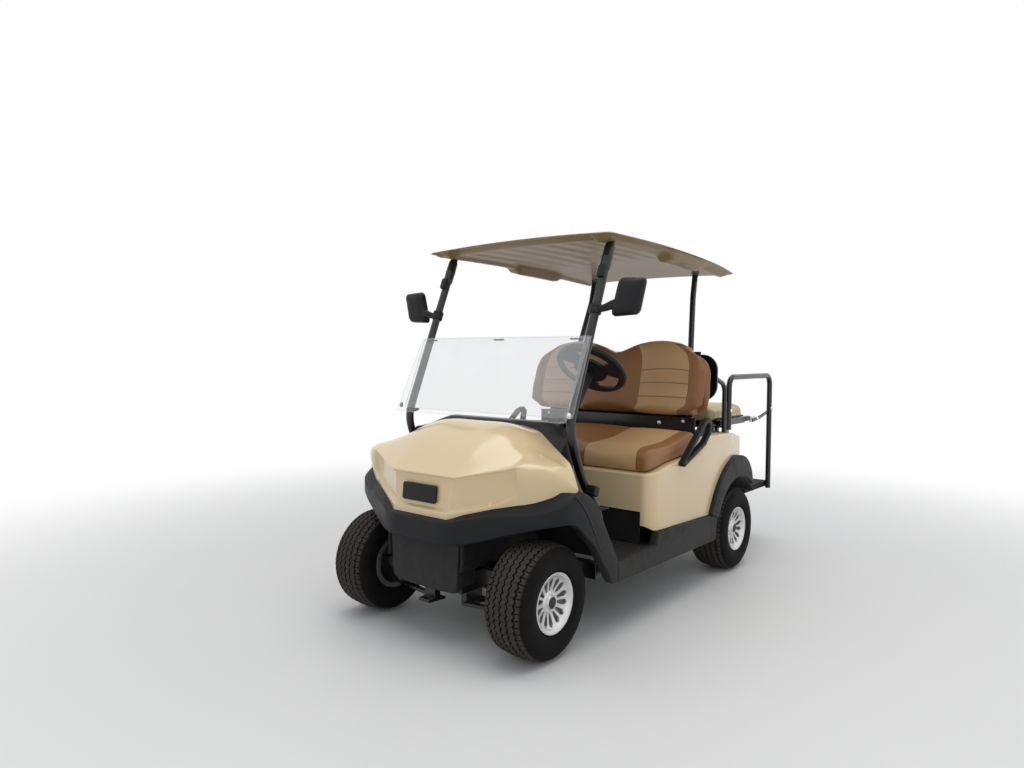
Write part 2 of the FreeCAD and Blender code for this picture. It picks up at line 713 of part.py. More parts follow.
ARM_LOOPS = (
    # share of the seat's run, height: the loop's outside, then its inside
    ((0.455, 676), (0.918, 868), (1, 878), (1.049, 850), (1.019, 790), (0.914, 742), (0.541, 668),
     (0.478, 656)),
    ((0.526, 690), (0.929, 846), (0.981, 852), (1, 840), (0.981, 798), (0.896, 760), (0.552, 690)),
)
arm_loops = [[(seat_formula(share), "%g" % z) for share, z in loop] for loop in ARM_LOOPS]
arm = slab("arm", "YZ_Plane", arm_loops, "body_half_width + seat_clearance", "armrest_width")
piece(both_sides("arms", arm), "armrests")

# Roof: a crowned tray with a turned-down rim and fore and aft ribs below.

roof_rear_half = S.body_half_width - S.roof_rear_inset


def roof_section(y, half, edge, crown, inset, drop, deep):
    """A section across the roof: a flat foot, two short sides and a crowned top."""
    foot = edge - S.roof_rim - drop * 2 - deep
    half = half - inset
    rise = edge - drop
    left = [V(half, y, foot), V(half, y, rise - 12), V(half - 4, y, rise - 3), V(half - 14, y, rise + 1)]
    right = [V(-p.x, p.y, p.z) for p in left]
    top = V(0, y, edge + crown - drop)
    edges = [Part.LineSegment(right[0], left[0]).toShape(), Part.LineSegment(left[0], left[1]).toShape(),
             Part.Arc(left[1], left[2], left[3]).toShape(), Part.Arc(left[3], top, right[3]).toShape(),
             Part.Arc(right[3], right[2], right[1]).toShape(),
             Part.LineSegment(right[1], right[0]).toShape()]
    return Part.Wire(edges)


def roof_solid(inset, drop, deep=0):
    middle = (S.roof_front_edge + S.roof_rear_edge) / 2 + 6
    front_half = S.body_half_width - S.roof_front_inset
    rows = (
        # y, half width, edge height, crown
        (S.roof_front + inset, front_half, S.roof_front_edge, S.roof_crown - 4),
        ((S.roof_front + roof_rear) / 2, front_half - 8, middle, S.roof_crown + 4),
        (roof_rear - inset, roof_rear_half, S.roof_rear_edge, S.roof_crown - 6),
    )
    return Part.makeLoft([roof_section(*row, inset, drop, deep) for row in rows], True, True)


roof_in = roof_solid(S.roof_wall, S.roof_wall)
shell = roof_solid(0, 0).cut(roof_in)
ROOF_RIBS = 7
rib_pitch = 2 * (roof_rear_half - 60) / (ROOF_RIBS - 1)
roof_bars = [Part.makeBox(18, roof_rear - S.roof_front - 160, 200,
                          V((i - (ROOF_RIBS - 1) / 2) * rib_pitch - 9, S.roof_front + 80, 1600))
             for i in range(ROOF_RIBS)]
lowered = roof_in.copy()
lowered.translate(V(0, 0, -12))
rib_work = Part.makeCompound(roof_bars).common(roof_in).cut(lowered)
piece(feature(shell.fuse(rib_work.Solids).removeSplitter(), "roof_tray"), "roof")

# Struts: bent tubes that carry the roof.

strut_top_x = strut_x - S.strut_lean_in
rail_top = S.rail_bottom + S.rail_height
front_path = [V(strut_x + 20, 362, rail_top - 20), V(strut_x + 20, 384, 440),
              V(strut_x + 18, 372, 524), V(strut_x + 6, 262, 676),
              V(strut_x, 178, 890), V(strut_top_x, 500, 1700)]
front_strut = bent_tube(front_path, S.strut_radius, 26)
roof_gap = roof_solid(S.roof_wall + S.seat_clearance, S.roof_wall + S.seat_clearance, 300)
front_strut = front_strut.common(roof_gap.fuse(
    Part.makeBox(2 * wide, long, tall - 500, V(-wide, -500, rail_top + S.seat_clearance))))
piece(feature(Part.makeCompound([front_strut, mirrored(front_strut)]), "front_posts"), "front_struts")
REAR_STRUT = (
    # distance in from the body's side, behind the rear axle, height
    (159, -275, 700), (181, -237, 980), (243, -75, 1520), (247, -36, 1690),
)
rear_path = [V(S.body_half_width - inwards, behind(distance), z) for inwards, distance, z in REAR_STRUT]
rear_strut = bent_tube(rear_path, S.rear_strut_radius, 90)
flare = Part.makeCone(S.rear_strut_radius, 30, 60, V(rear_path[-1].x + 0.4, behind(-43), 1640),
                      V(0, 0.12, 1))
rear_strut = rear_strut.fuse(flare).common(
    roof_gap.fuse(Part.makeBox(2 * wide, long, tall - 630, V(-wide, -500, 390)))).common(above_lid)
piece(feature(Part.makeCompound([rear_strut, mirrored(rear_strut)]), "rear_posts"), "rear_struts")

# Windscreen: a fixed lower pane on the struts, and the upper pane folded down in front of it.

glass_lean = (front_path[-1].y - front_path[-2].y) / (front_path[-1].z - front_path[-2].z)
glass_half = S.body_half_width - S.glass_inset


def strut_front(z):
    """The y just in front of the struts at a height."""
    near = front_path[-2].y + glass_lean * (z - front_path[-2].z)
    return near - S.strut_radius * math.sqrt(1 + glass_lean ** 2) - S.seat_clearance


def pane(low, high, offset_low, offset_high, half):
    depth = S.glass_thickness
    return side_prism([(strut_front(low) - offset_low, low), (strut_front(high) - offset_high, high),
                       (strut_front(high) - offset_high - depth, high),
                       (strut_front(low) - offset_low - depth, low)], half)


piece(feature(pane(S.glass_low_z, S.glass_hinge_z, 0, 0, glass_half), "lower_pane"),
      "windscreen_lower")
folded = pane(S.glass_low_z - 15, S.glass_hinge_z - 4, 46, 12, glass_half)
piece(feature(folded, "upper_pane"), "windscreen_upper")
hinge_y = strut_front(S.glass_hinge_z - 12) - S.glass_thickness - 3.5
hinges = [Part.makeCylinder(3.2, 60, V(x, hinge_y, S.glass_hinge_z - 12), V(1, 0, 0))
          for x in (40 - glass_half, -30, glass_half - 100)]
piece(feature(Part.makeCompound(hinges), "hinge_rolls"), "windscreen_hinges")
clip = side_prism([(140, 914.8), (176, 921.7), (176, 931.7), (140, 931.7)], glass_half - 48)
clip = clip.cut(Part.makeBox(2 * glass_half - 200, 200, 200, V(100 - glass_half, 100, 850)))
piece(feature(clip, "pane_clips"), "windscreen_clips")

# Mirrors: rounded housings on arms clamped to the front struts.

MIRROR = ((-38, 1352), (96, 1358), (132, 1512), (4, 1518))
outline = [V(S.body_half_width + across, 352, z) for across, z in MIRROR]
head = Part.Face(Part.makePolygon(outline + outline[:1])).extrude(V(0, 46, 0))
head = head.makeFillet(14, head.Edges)
strut_run = front_path[-1] - front_path[-2]


def strut_spot(z):
    """The point on the left strut's upper run at a height."""
    return front_path[-2] + strut_run * ((z - front_path[-2].z) / strut_run.z)


stalk = Part.makeCylinder(8, 90, strut_spot(1386) + V(14, 0, 0), V(1, 0.15, 0.1))
clamp = Part.makeCylinder(S.strut_radius + 8, 44, strut_spot(1366), strut_run)
hole = Part.makeCylinder(S.strut_radius + S.seat_clearance, 100, strut_spot(1340), strut_run)
mirror = head.fuse(stalk).fuse(clamp).cut(hole)
piece(feature(Part.makeCompound([mirror, mirrored(mirror)]), "mirror_pair"), "mirrors")

# Steering: column, wheel, knuckles and tie rod.

rake = math.radians(S.wheel_rake)
aim = V(0, math.sin(rake), math.cos(rake))
centre = V(S.body_half_width - S.steering_inset, S.wheel_y, S.wheel_z)
column = Part.makeCylinder(S.column_radius, 320, centre - aim * 360, aim)
stem = Part.makeCylinder(10, 60, centre - aim * 60, aim)
dash_gap = side_prism(list(DASH_OUT) + [(44, 566)], 600)
piece(feature(column.fuse(stem).cut(dash_gap), "column_tube"), "steering_column")

ring = Part.makeTorus(S.wheel_ring_radius, S.wheel_grip)
hub = Part.makeCylinder(62, 34, V(0, 0, -20))
hub = hub.makeFillet(8, [edge for edge in hub.Edges if edge.Closed and edge.CenterOfMass.z > 0])
socket = Part.makeCylinder(10.3, 30, V(0, 0, -30))
spokes = Part.makeCylinder(S.wheel_ring_radius - 4, 14, V(0, 0, -14))
slots = []
for angle in (30, 150, 270):
    hole = Part.makeCylinder(S.wheel_ring_radius - 20, 60, V(0, 0, -30), V(0, 0, 1), 74)
    hole = hole.cut(Part.makeCylinder(80, 60, V(0, 0, -30)))
    hole.rotate(V(0, 0, 0), V(0, 0, 1), angle - 37 + 30)
    slots.append(hole)
wheel = ring.fuse(spokes).cut(Part.makeCompound(slots)).fuse(hub).cut(socket)
steering_wheel = feature(wheel, "steering_ring")
steering_wheel.Placement = FreeCAD.Placement(centre, FreeCAD.Rotation(V(1, 0, 0), -S.wheel_rake))
piece(steering_wheel, "steering_wheel")
tie(steering_wheel, Placement__Base__y="wheel_y + " + TO_MIDDLE)

PEDALS = (
    # middle x, width, foot of the pad y, z
    (centre.x - 110, 70, 452, 420),
    (centre.x + 20, 110, 446, 430),
)
levers = []
for x, width, y, z in PEDALS:
    pad = side_prism([(y, z - 40), (y + 8, z - 38), (y - 20, z + 44), (y - 28, z + 42)], width / 2)
    pad.translate(V(x, 0, 0))
    lever = side_prism([(y - 24, z + 6), (y - 16, z + 8), (359, 548), (349.8, 548)], 8)
    lever.translate(V(x, 0, 0))
    levers.append(pad.fuse(lever))
piece(feature(Part.makeCompound(levers), "pedal_levers"), "pedals")

# Front suspension: a leaf spring across the car, lower arms, and knuckles on upright pins.

leaf_z = rail_top + S.seat_clearance
leaf = Part.makeBox(2 * S.kingpin_x + 36, 56, 8, V(-S.kingpin_x - 18, -28, leaf_z))
second = Part.makeBox(2 * S.kingpin_x - 160, 56, 7, V(-S.kingpin_x + 80, -28, leaf_z + 8))
third = Part.makeBox(2 * S.kingpin_x - 320, 56, 7, V(-S.kingpin_x + 160, -28, leaf_z + 15))
pin_fit = S.kingpin_radius + S.seat_clearance
leaves = leaf.fuse(second).fuse(third).removeSplitter()
for side in (-1, 1):
    pin_hole = Part.makeCylinder(pin_fit, 60, V(side * S.kingpin_x, 0, leaf_z - 20))
    leaves = leaves.cut(pin_hole)
piece(feature(leaves, "leaf_pack"), "front_leaf_spring")

ARM_LOW = 140
plan = [V(110, -62, ARM_LOW), V(S.kingpin_x - 10, -24, ARM_LOW), V(S.kingpin_x + 20, -20, ARM_LOW),
        V(S.kingpin_x + 20, 20, ARM_LOW), V(S.kingpin_x - 10, 24, ARM_LOW), V(110, 62, ARM_LOW)]
arm_plate = Part.Face(Part.makePolygon(plan + plan[:1])).extrude(V(0, 0, 14))
opening = [V(x, y, ARM_LOW - 5) for x, y in ((146, -30), (262, -10), (262, 10), (146, 30))]
arm_plate = arm_plate.cut(Part.Face(Part.makePolygon(opening + opening[:1])).extrude(V(0, 0, 30)))
post = Part.makeBox(30, 100, 205 - S.seat_clearance - ARM_LOW, V(95, -50, ARM_LOW))
lower_arm = arm_plate.fuse(post).cut(Part.makeCylinder(pin_fit, 60, V(S.kingpin_x, 0, 120)))
piece(feature(Part.makeCompound([lower_arm, mirrored(lower_arm)]), "arm_pair"), "front_lower_arms")

axle_z = S.tyre_radius
spindle_end = S.front_half_track + S.rim_face - 4


def knuckle_shape():
    """An upright pin and its barrel, the wheel's spindle, and the arm that steers it."""
    barrel = Part.makeCylinder(19, leaf_z - ARM_LOW - 16, V(S.kingpin_x, 0, ARM_LOW + 15))
    pin = Part.makeCylinder(S.kingpin_radius, leaf_z + 8 - ARM_LOW, V(S.kingpin_x, 0, ARM_LOW))
    spindle = Part.makeCylinder(S.spindle_radius, spindle_end - S.kingpin_x, V(S.kingpin_x, 0, axle_z),
                                V(1, 0, 0))
    collar = Part.makeCylinder(34, 40, V(S.kingpin_x + 10, 0, axle_z), V(1, 0, 0))
    low = S.tie_rod_z
    lever = Part.makeBox(20, S.steering_arm, 12, V(S.kingpin_x - 10, 0, low - 6))
    eye = Part.makeCylinder(13, 12, V(S.kingpin_x, S.steering_arm, low - 6))
    joined = barrel.fuse([pin, spindle, collar, lever, eye]).removeSplitter()
    return joined.cut(Part.makeCylinder(5.3, 40, V(S.kingpin_x, S.steering_arm, low - 20)))


knuckle = knuckle_shape()
piece(feature(knuckle, "left_knuckle"), "knuckle_left")
piece(feature(mirrored(knuckle), "right_knuckle"), "knuckle_right")
rod_z = S.tie_rod_z - 6 - S.seat_clearance - S.tie_rod_radius - 3
link = Part.makeCylinder(S.tie_rod_radius, 2 * S.kingpin_x, V(-S.kingpin_x, S.steering_arm, rod_z),
                         V(1, 0, 0))
for side in (-1, 1):
    stud = Part.makeCylinder(5, S.tie_rod_z + 8 - rod_z, V(side * S.kingpin_x, S.steering_arm, rod_z))
    ball = Part.makeCylinder(12, 22, V(side * S.kingpin_x, S.steering_arm, rod_z - 11))
    link = link.fuse(stud).fuse(ball)
piece(feature(link.removeSplitter(), "track_rod"), "tie_rod")

# Wheels: each tyre and rim is a turned profile, drawn outboard along X from the wheel's middle.

WHEELS = (
    # node ending, y of the axle, x of the wheel's middle
    ("front_left", "0", "front_half_track", 1),
    ("front_right", "0", "front_half_track", -1),
    ("rear_left", "wheelbase", "rear_half_track", 1),
    ("rear_right", "wheelbase", "rear_half_track", -1),
)
half_tread = "(tyre_width / 2 - 14)"
TYRE = (
    ("-rim_width / 2 + 8.5", "rim_barrel_radius + seat_clearance"),
    ("rim_width / 2 - 8.5", "rim_barrel_radius + seat_clearance"),
    ("rim_width / 2 - 8.5", "rim_flange_radius + 1.5"), ("rim_width / 2 - 2", "rim_flange_radius + 4"),
    ("tyre_width / 2 - 4", "rim_flange_radius + 22"), ("tyre_width / 2", "tyre_radius - 62"),
    ("tyre_width / 2 - 4", "tyre_radius - 30"), (half_tread, "tyre_radius - 8"),
    ("tyre_width / 2 - 34", "tyre_radius"), ("-tyre_width / 2 + 34", "tyre_radius"),
    ("-" + half_tread, "tyre_radius - 8"), ("-tyre_width / 2 + 4", "tyre_radius - 30"),
    ("-tyre_width / 2", "tyre_radius - 62"), ("-tyre_width / 2 + 4", "rim_flange_radius + 22"),
    ("-rim_width / 2 + 2", "rim_flange_radius + 4"), ("-rim_width / 2 + 8.5", "rim_flange_radius + 1.5"),
)
RIM = (
    ("-rim_width / 2", "rim_barrel_radius - rim_wall"), ("rim_face", "rim_barrel_radius - rim_wall"),
    ("rim_face", "hub_radius"), ("rim_face - 46", "hub_radius"),
    ("rim_face - 46", "spindle_radius + seat_clearance"),
    ("rim_face - 3", "spindle_radius + seat_clearance"),
    ("rim_face - 3", "0"), ("rim_face + 30", "0"), ("rim_face + 30", "cap_radius"),
    ("rim_face + 16", "cap_radius + 2"), ("rim_face + 14", "hub_radius - 2"),
    ("rim_face + rim_dish", "hub_radius + 2"), ("rim_width / 2 - 12", "rim_barrel_radius - rim_wall - 4"),
    ("rim_width / 2", "rim_flange_radius - 8"), ("rim_width / 2", "rim_flange_radius"),
    ("rim_width / 2 - 8", "rim_flange_radius"), ("rim_width / 2 - 8", "rim_barrel_radius"),
    ("-rim_width / 2 + 8", "rim_barrel_radius"), ("-rim_width / 2 + 8", "rim_flange_radius"),
    ("-rim_width / 2", "rim_flange_radius"),
)


def turned(name, loops):
    """A body turned about the X axis from a profile in the XZ plane."""
    body = doc.addObject("PartDesign::Body", name)
    drawing = sketch(body, "XZ_Plane", loops)
    turn = body.newObject("PartDesign::Revolution", "Turn")
    turn.Profile = drawing
    axis = [item for item in body.Origin.OriginFeatures if item.Role == "X_Axis"][0]
    turn.ReferenceAxis = (axis, [""])
    turn.Angle = 360
    body.Tip = turn
    return body


def place_wheel(body, label, y, x, side):
    """Stand a wheel at its axle's end, its face outwards."""
    angle = 0 if side > 0 else 180
    body.Placement = FreeCAD.Placement(V(0, 0, 0), FreeCAD.Rotation(V(0, 0, 1), angle))
    piece(body, label)
    tie(body, Placement__Base__x="%d * %s" % (side, x), Placement__Base__z="tyre_radius",
        Placement__Base__y="%s + %s" % (y, TO_MIDDLE))


def pierce(body):
    """Cut pairs of long slots between the spokes, in equal steps round the wheel."""
    doc.recompute()
    loops = []
    for lean_out in (-1, 1):
        low = "%d * (slot_width * 0.9)" % lean_out
        near = "(hub_radius + 8)"
        far = "(rim_barrel_radius - rim_wall - 9)"
        wide = "slot_width / 2"
        loops.append(((low + " - " + wide + " * 0.55", near), (low + " + " + wide + " * 0.55", near),
                      (low + " * 1.65 + " + wide, far), (low + " * 1.65 - " + wide, far)))
    drawing = sketch(body, "YZ_Plane", loops)
    tie(drawing, AttachmentOffset__Base__z="rim_face - 20")
    pocket_cut = body.newObject("PartDesign::Pocket", "Slots")
    pocket_cut.Profile = drawing
    pocket_cut.Reversed = True
    tie(pocket_cut, Length="60")
    body.Tip = pocket_cut
    doc.recompute()
    repeat = body.newObject("PartDesign::PolarPattern", "Round")
    repeat.Originals = [pocket_cut]
    axis = [item for item in body.Origin.OriginFeatures if item.Role == "X_Axis"][0]
    repeat.Axis = (axis, [""])
    repeat.Angle = 360
    repeat.Occurrences = int(S.spoke_pairs)
    body.Tip = repeat
    doc.recompute()


for ending, y, x, side in WHEELS:
    tyre = turned("tyre_" + ending, [TYRE])
    place_wheel(tyre, "tyre_" + ending, y, x, side)
    rim = turned("rim_" + ending, [RIM])
    pierce(rim)
    place_wheel(rim, "rim_" + ending, y, x, side)

# Rear axle, motor and springs.

axle_end = S.rear_half_track + S.rim_face - 4
tube_end = S.rear_half_track - S.rim_width / 2 + 14
shaft = Part.makeCylinder(S.spindle_radius, 2 * axle_end, V(-axle_end, S.wheelbase, axle_z), V(1, 0, 0))
casing = Part.makeCylinder(32, 2 * tube_end, V(-tube_end, S.wheelbase, axle_z), V(1, 0, 0))
GEARCASE = (
    # radius and distance across from the gearcase's middle
    (0, -74), (54, -74), (84, -34), (84, 34), (54, 74), (0, 74),
)
turned_face = [V(20 + across, S.wheelbase, axle_z + radius) for radius, across in GEARCASE]
pumpkin = Part.Face(Part.makePolygon(turned_face + turned_face[:1])).revolve(
    V(20, S.wheelbase, axle_z), V(1, 0, 0), 360)
motor = Part.makeCylinder(82, 230, V(20, S.wheelbase - 300, axle_z + 8), V(0, 1, 0))
axle = shaft.fuse([casing, pumpkin, motor])
piece(feature(axle.removeSplitter(), "axle_casing"), "rear_axle")

SPRING_GAP = 85.5
spring_x = S.rear_half_track - S.tyre_width / 2 - SPRING_GAP
spring_low = axle_z - 32 - S.seat_clearance
spring_path = ((S.wheelbase - 350, 214), (S.wheelbase - 40, spring_low), (S.wheelbase + 40, spring_low),
               (S.wheelbase + 380, 214))
upper_leaf = side_prism(thick_line(spring_path, 9), 25)
lower_leaf = Part.makeBox(50, 320, 8, V(-25, S.wheelbase - 160, spring_low - 17))
lower_leaf = lower_leaf.cut(side_prism([(y, z - 8.99) for y, z in spring_path] +
                                       [(S.wheelbase + 380, 400), (S.wheelbase - 350, 400)], 30))
hangers = [Part.makeBox(34, 30, S.rail_bottom + 10 - 204 - S.seat_clearance, V(-17, y - 15, 204))
           for y in (S.wheelbase - 350, S.wheelbase + 380)]
spring = upper_leaf.fuse([lower_leaf] + hangers).removeSplitter()
spring.translate(V(spring_x, 0, 0))
piece(feature(Part.makeCompound([spring, mirrored(spring)]), "spring_pair"), "rear_leaf_springs")

# Rear seat kit: frame, hoops, footplate, a back rest and the flip-over seat.

FRAME_TUBE = 24
POST = 28
PIN_OFFSET = 10
EYE_RADIUS = 13
EYE_WIDTH = 12
frame_z = S.deck_z - FRAME_TUBE - S.seat_clearance
frame_half = deck_half - 21
pin_y = deck_rear + PIN_OFFSET
pin_z = S.deck_z + PIN_OFFSET
hoop_front = S.wheelbase + S.hoop_lead
hoop_rear = S.wheelbase + S.hoop_overhang


def hinge_eye(x, wide, low_y, low_z, high_z):
    """An eye round the flip hinge's axis, with a web from low_y to the axis."""
    web = Part.makeBox(wide, pin_y - low_y, high_z - low_z, V(x, low_y, low_z))
    return web.fuse(Part.makeCylinder(EYE_RADIUS, wide, V(x, pin_y, pin_z), V(1, 0, 0)))


frame_bars = [Part.makeBox(FRAME_TUBE, deck_rear - deck_front, FRAME_TUBE,
                           V(side * frame_half - FRAME_TUBE / 2, deck_front, frame_z)) for side in (-1, 1)]
for y in (deck_front, deck_front + 225, deck_rear - FRAME_TUBE):
    frame_bars.append(Part.makeBox(2 * frame_half, FRAME_TUBE, FRAME_TUBE, V(-frame_half, y, frame_z)))
post_z = rail_top + S.seat_clearance
reach = hoop_x - S.hoop_radius - S.seat_clearance - frame_half + 4
for side in (-1, 1):
    frame_bars.append(Part.makeBox(POST, POST, frame_z + 5 - post_z,
                                   V(side * 300 - POST / 2, foot_front - POST - 2, post_z)))
    lug = Part.makeBox(20, 30, 80, V(side * frame_half - 10, deck_front + 25, frame_z - 75))
    frame_bars.append(lug.common(above_lid))
    wing_x = frame_half - 4 if side > 0 else 4 - frame_half - reach
    frame_bars.append(Part.makeBox(reach, 60, 6, V(wing_x, deck_front + 60, frame_z)))
for x in (frame_half - 18, EYE_WIDTH / 2 - frame_half):
    frame_bars.append(hinge_eye(x, EYE_WIDTH, deck_rear - 12, S.deck_z - 20, S.deck_z + PIN_OFFSET))
for x in (frame_half - 36, EYE_WIDTH / 2 - frame_half):
    frame_bars.append(Part.makeCylinder(S.flip_pin_radius, 30, V(x, pin_y, pin_z), V(1, 0, 0)))
frame = frame_bars[0].fuse(frame_bars[1:]).removeSplitter()
piece(feature(frame, "kit_frame"), "rear_seat_frame")

hoop_path = [V(hoop_x, hoop_front, frame_z - 10), V(hoop_x, hoop_front, S.hoop_top),
             V(hoop_x, hoop_rear, S.hoop_top), V(hoop_x, hoop_rear, S.foot_top - 42)]
hoop = bent_tube(hoop_path, S.hoop_radius, S.hoop_bend)
piece(feature(Part.makeCompound([hoop, mirrored(hoop)]), "hoop_pair"), "grab_hoops")

foot_half = hoop_x - S.hoop_radius - S.seat_clearance
foot_length = S.wheelbase + S.rear_overhang - foot_front
SKIRT = 34
SKIRT_WALL = 5
tread_low = S.foot_top - S.foot_wall
tread_plate = Part.makeBox(2 * foot_half, foot_length, S.foot_wall, V(-foot_half, foot_front, tread_low))
skirt = Part.makeBox(2 * foot_half, foot_length, SKIRT, V(-foot_half, foot_front, S.foot_top - SKIRT))
skirt = skirt.cut(Part.makeBox(2 * (foot_half - SKIRT_WALL), foot_length - 2 * SKIRT_WALL, SKIRT,
                               V(-foot_half + SKIRT_WALL, foot_front + SKIRT_WALL, tread_low - SKIRT)))
legs = [Part.makeBox(40, 30, S.foot_top - 2 - rail_top - S.seat_clearance,
                     V(side * S.rail_x - 20, foot_front, rail_top + S.seat_clearance)) for side in (-1, 1)]
footplate = tread_plate.fuse([skirt] + legs).removeSplitter()
piece(feature(footplate, "foot_tray"), "footplate")

BACK_BOARD = 12
BACK_LOW = 945
BACK_TOP = 1200
BACK_CORNER = 85
STAY_RADIUS = 13
rear_back_y = behind(-122)
board_front = rear_back_y - BACK_BOARD - S.seat_clearance
stay_x = deck_half + 50
shell_half = deck_half + 75
shell_board = Part.makeBox(2 * shell_half, BACK_BOARD, BACK_TOP - BACK_LOW,
                           V(-shell_half, board_front, BACK_LOW))
shell_board = shell_board.makeFillet(BACK_CORNER, [edge for edge in shell_board.Edges
                                                   if abs(edge.tangentAt(edge.FirstParameter).y) > 0.9])
stay_path = [V(stay_x, rear_back_y - 6, 1078), V(stay_x, behind(26), 1030), V(stay_x, behind(26), 720)]
stay = bent_tube(stay_path, STAY_RADIUS, 60).common(above_lid)
brackets = shell_board.fuse([stay, mirrored(stay)]).removeSplitter()
piece(feature(brackets, "rear_back_shell"), "rear_back_frame")
PAD_HALF = "(%s + 25)" % DECK_HALF
pad = slab("rear_pad", "XZ_Plane", [[("-" + PAD_HALF, "955"), (PAD_HALF, "955"), (PAD_HALF, "1195"),
                                     ("-" + PAD_HALF, "1195")]], "50 - wheelbase", "72")
round_off("rear_pad_round", pad, "70", lambda edge: along(edge, 1))
piece(pad, "rear_backrest")

DECK_WALL = 10
deck_plate = Part.makeBox(2 * deck_half, deck_rear - deck_front - 20, DECK_WALL,
                          V(-deck_half, deck_front, S.deck_z))
for x in (frame_half - 32, 19 - frame_half):
    eye = hinge_eye(x, EYE_RADIUS, deck_rear - 35, S.deck_z, S.deck_z + 16)
    bore = Part.makeCylinder(S.flip_pin_radius + S.seat_clearance, 30, V(x - 5, pin_y, pin_z), V(1, 0, 0))
    deck_plate = deck_plate.fuse(eye).cut(bore)
piece(feature(deck_plate.removeSplitter(), "flip_board"), "flip_deck")
squab = box("squab", ("-" + DECK_HALF, DECK_FRONT, "deck_z + %g + seat_clearance" % DECK_WALL),
            ("2 * " + DECK_HALF, DECK_REAR + " - " + DECK_FRONT + " - 40", "rear_cushion_height"))
piece(squab, "rear_cushion", DECK_FRONT)

doc.recompute()
broken = [thing.Name for thing in doc.Objects if "Invalid" in thing.State or "Error" in thing.State]
for thing in PIECES:
    if thing.Shape.isNull() or not thing.Shape.isValid() or thing.Shape.Volume < 1:
        broken.append(thing.Label)
if broken:
    raise RuntimeError("failed: " + ", ".join(broken))

os.makedirs("parts", exist_ok=True)
for thing in PIECES:
    thing.Shape.exportStep("parts/%s.step" % thing.Label)
    print(thing.Label, round(thing.Shape.Volume / 1000), thing.Shape.BoundBox)
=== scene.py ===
import json
import math

import bmesh
import bpy
import numpy as np
from mathutils import Matrix, Vector
from mathutils.kdtree import KDTree


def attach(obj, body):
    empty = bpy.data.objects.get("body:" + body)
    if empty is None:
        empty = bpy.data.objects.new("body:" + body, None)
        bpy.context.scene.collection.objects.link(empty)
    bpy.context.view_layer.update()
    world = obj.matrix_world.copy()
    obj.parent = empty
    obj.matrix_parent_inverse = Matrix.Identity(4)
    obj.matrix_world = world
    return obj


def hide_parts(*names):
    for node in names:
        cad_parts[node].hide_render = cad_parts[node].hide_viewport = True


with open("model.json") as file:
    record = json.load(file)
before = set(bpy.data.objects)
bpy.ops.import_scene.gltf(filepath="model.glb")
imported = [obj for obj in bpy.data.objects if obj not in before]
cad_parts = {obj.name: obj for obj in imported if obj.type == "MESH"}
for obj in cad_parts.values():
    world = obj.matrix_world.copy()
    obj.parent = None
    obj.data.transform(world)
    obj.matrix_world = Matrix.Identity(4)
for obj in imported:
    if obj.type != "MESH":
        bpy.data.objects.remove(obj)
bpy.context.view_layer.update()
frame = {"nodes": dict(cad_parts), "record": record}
nodes = frame["nodes"]
scene = bpy.context.scene

FRONT_AXLE = -1.095
REAR_AXLE = 0.572
AXLE_HEIGHT = 0.2286
TYRE_RADIUS = 0.2286
SIDES = ((1, "left"), (-1, "right"))


def placed(name, data):
    """A new object that holds the data."""
    thing = bpy.data.objects.new(name, data)
    scene.collection.objects.link(thing)
    return thing


# Camera: a 25.6 mm lens off the cart's left front corner, 1.2 m up, looking down 2 degrees.

TURN = math.radians(39.312)
DIP = math.radians(2.183)
ROLL = math.radians(0.326)
LENS = 25.64
CAMERA_PLACE = (2.180, -3.362, 1.185)


def camera():
    """A camera that is turned left of +Y by TURN, dipped by DIP and rolled about its own axis."""
    data = bpy.data.cameras.new("view")
    data.lens = LENS
    data.sensor_width = 36.0
    scene.camera = placed("view", data)
    scene.camera.matrix_world = (Matrix.Translation(CAMERA_PLACE) @ Matrix.Rotation(TURN, 4, "Z")
                                 @ Matrix.Rotation(math.pi / 2 - DIP, 4, "X") @ Matrix.Rotation(ROLL, 4, "Z"))


# Finishes.


class Value:
    """A shader output on which sums are written: each operator adds one Math node."""

    def __init__(self, net, socket):
        self.net = net
        self.socket = socket

    def sum(self, operation, first, second=0.0):
        return self.net.node("ShaderNodeMath", {"operation": operation}, {0: first, 1: second})

    def __add__(self, other):
        return self.sum("ADD", self, other)

    def __radd__(self, other):
        return self.sum("ADD", other, self)

    def __sub__(self, other):
        return self.sum("SUBTRACT", self, other)

    def __rsub__(self, other):
        return self.sum("SUBTRACT", other, self)

    def __mul__(self, other):
        return self.sum("MULTIPLY", self, other)

    def __rmul__(self, other):
        return self.sum("MULTIPLY", other, self)

    def __abs__(self):
        return self.sum("ABSOLUTE", self)

    def above(self, edge, soft=0.001):
        """0 below the edge and 1 above it, with a soft step between."""
        return self.net.node("ShaderNodeMapRange", {"interpolation_type": "SMOOTHSTEP"},
                             {"Value": self, "From Min": edge - soft, "From Max": edge + soft})


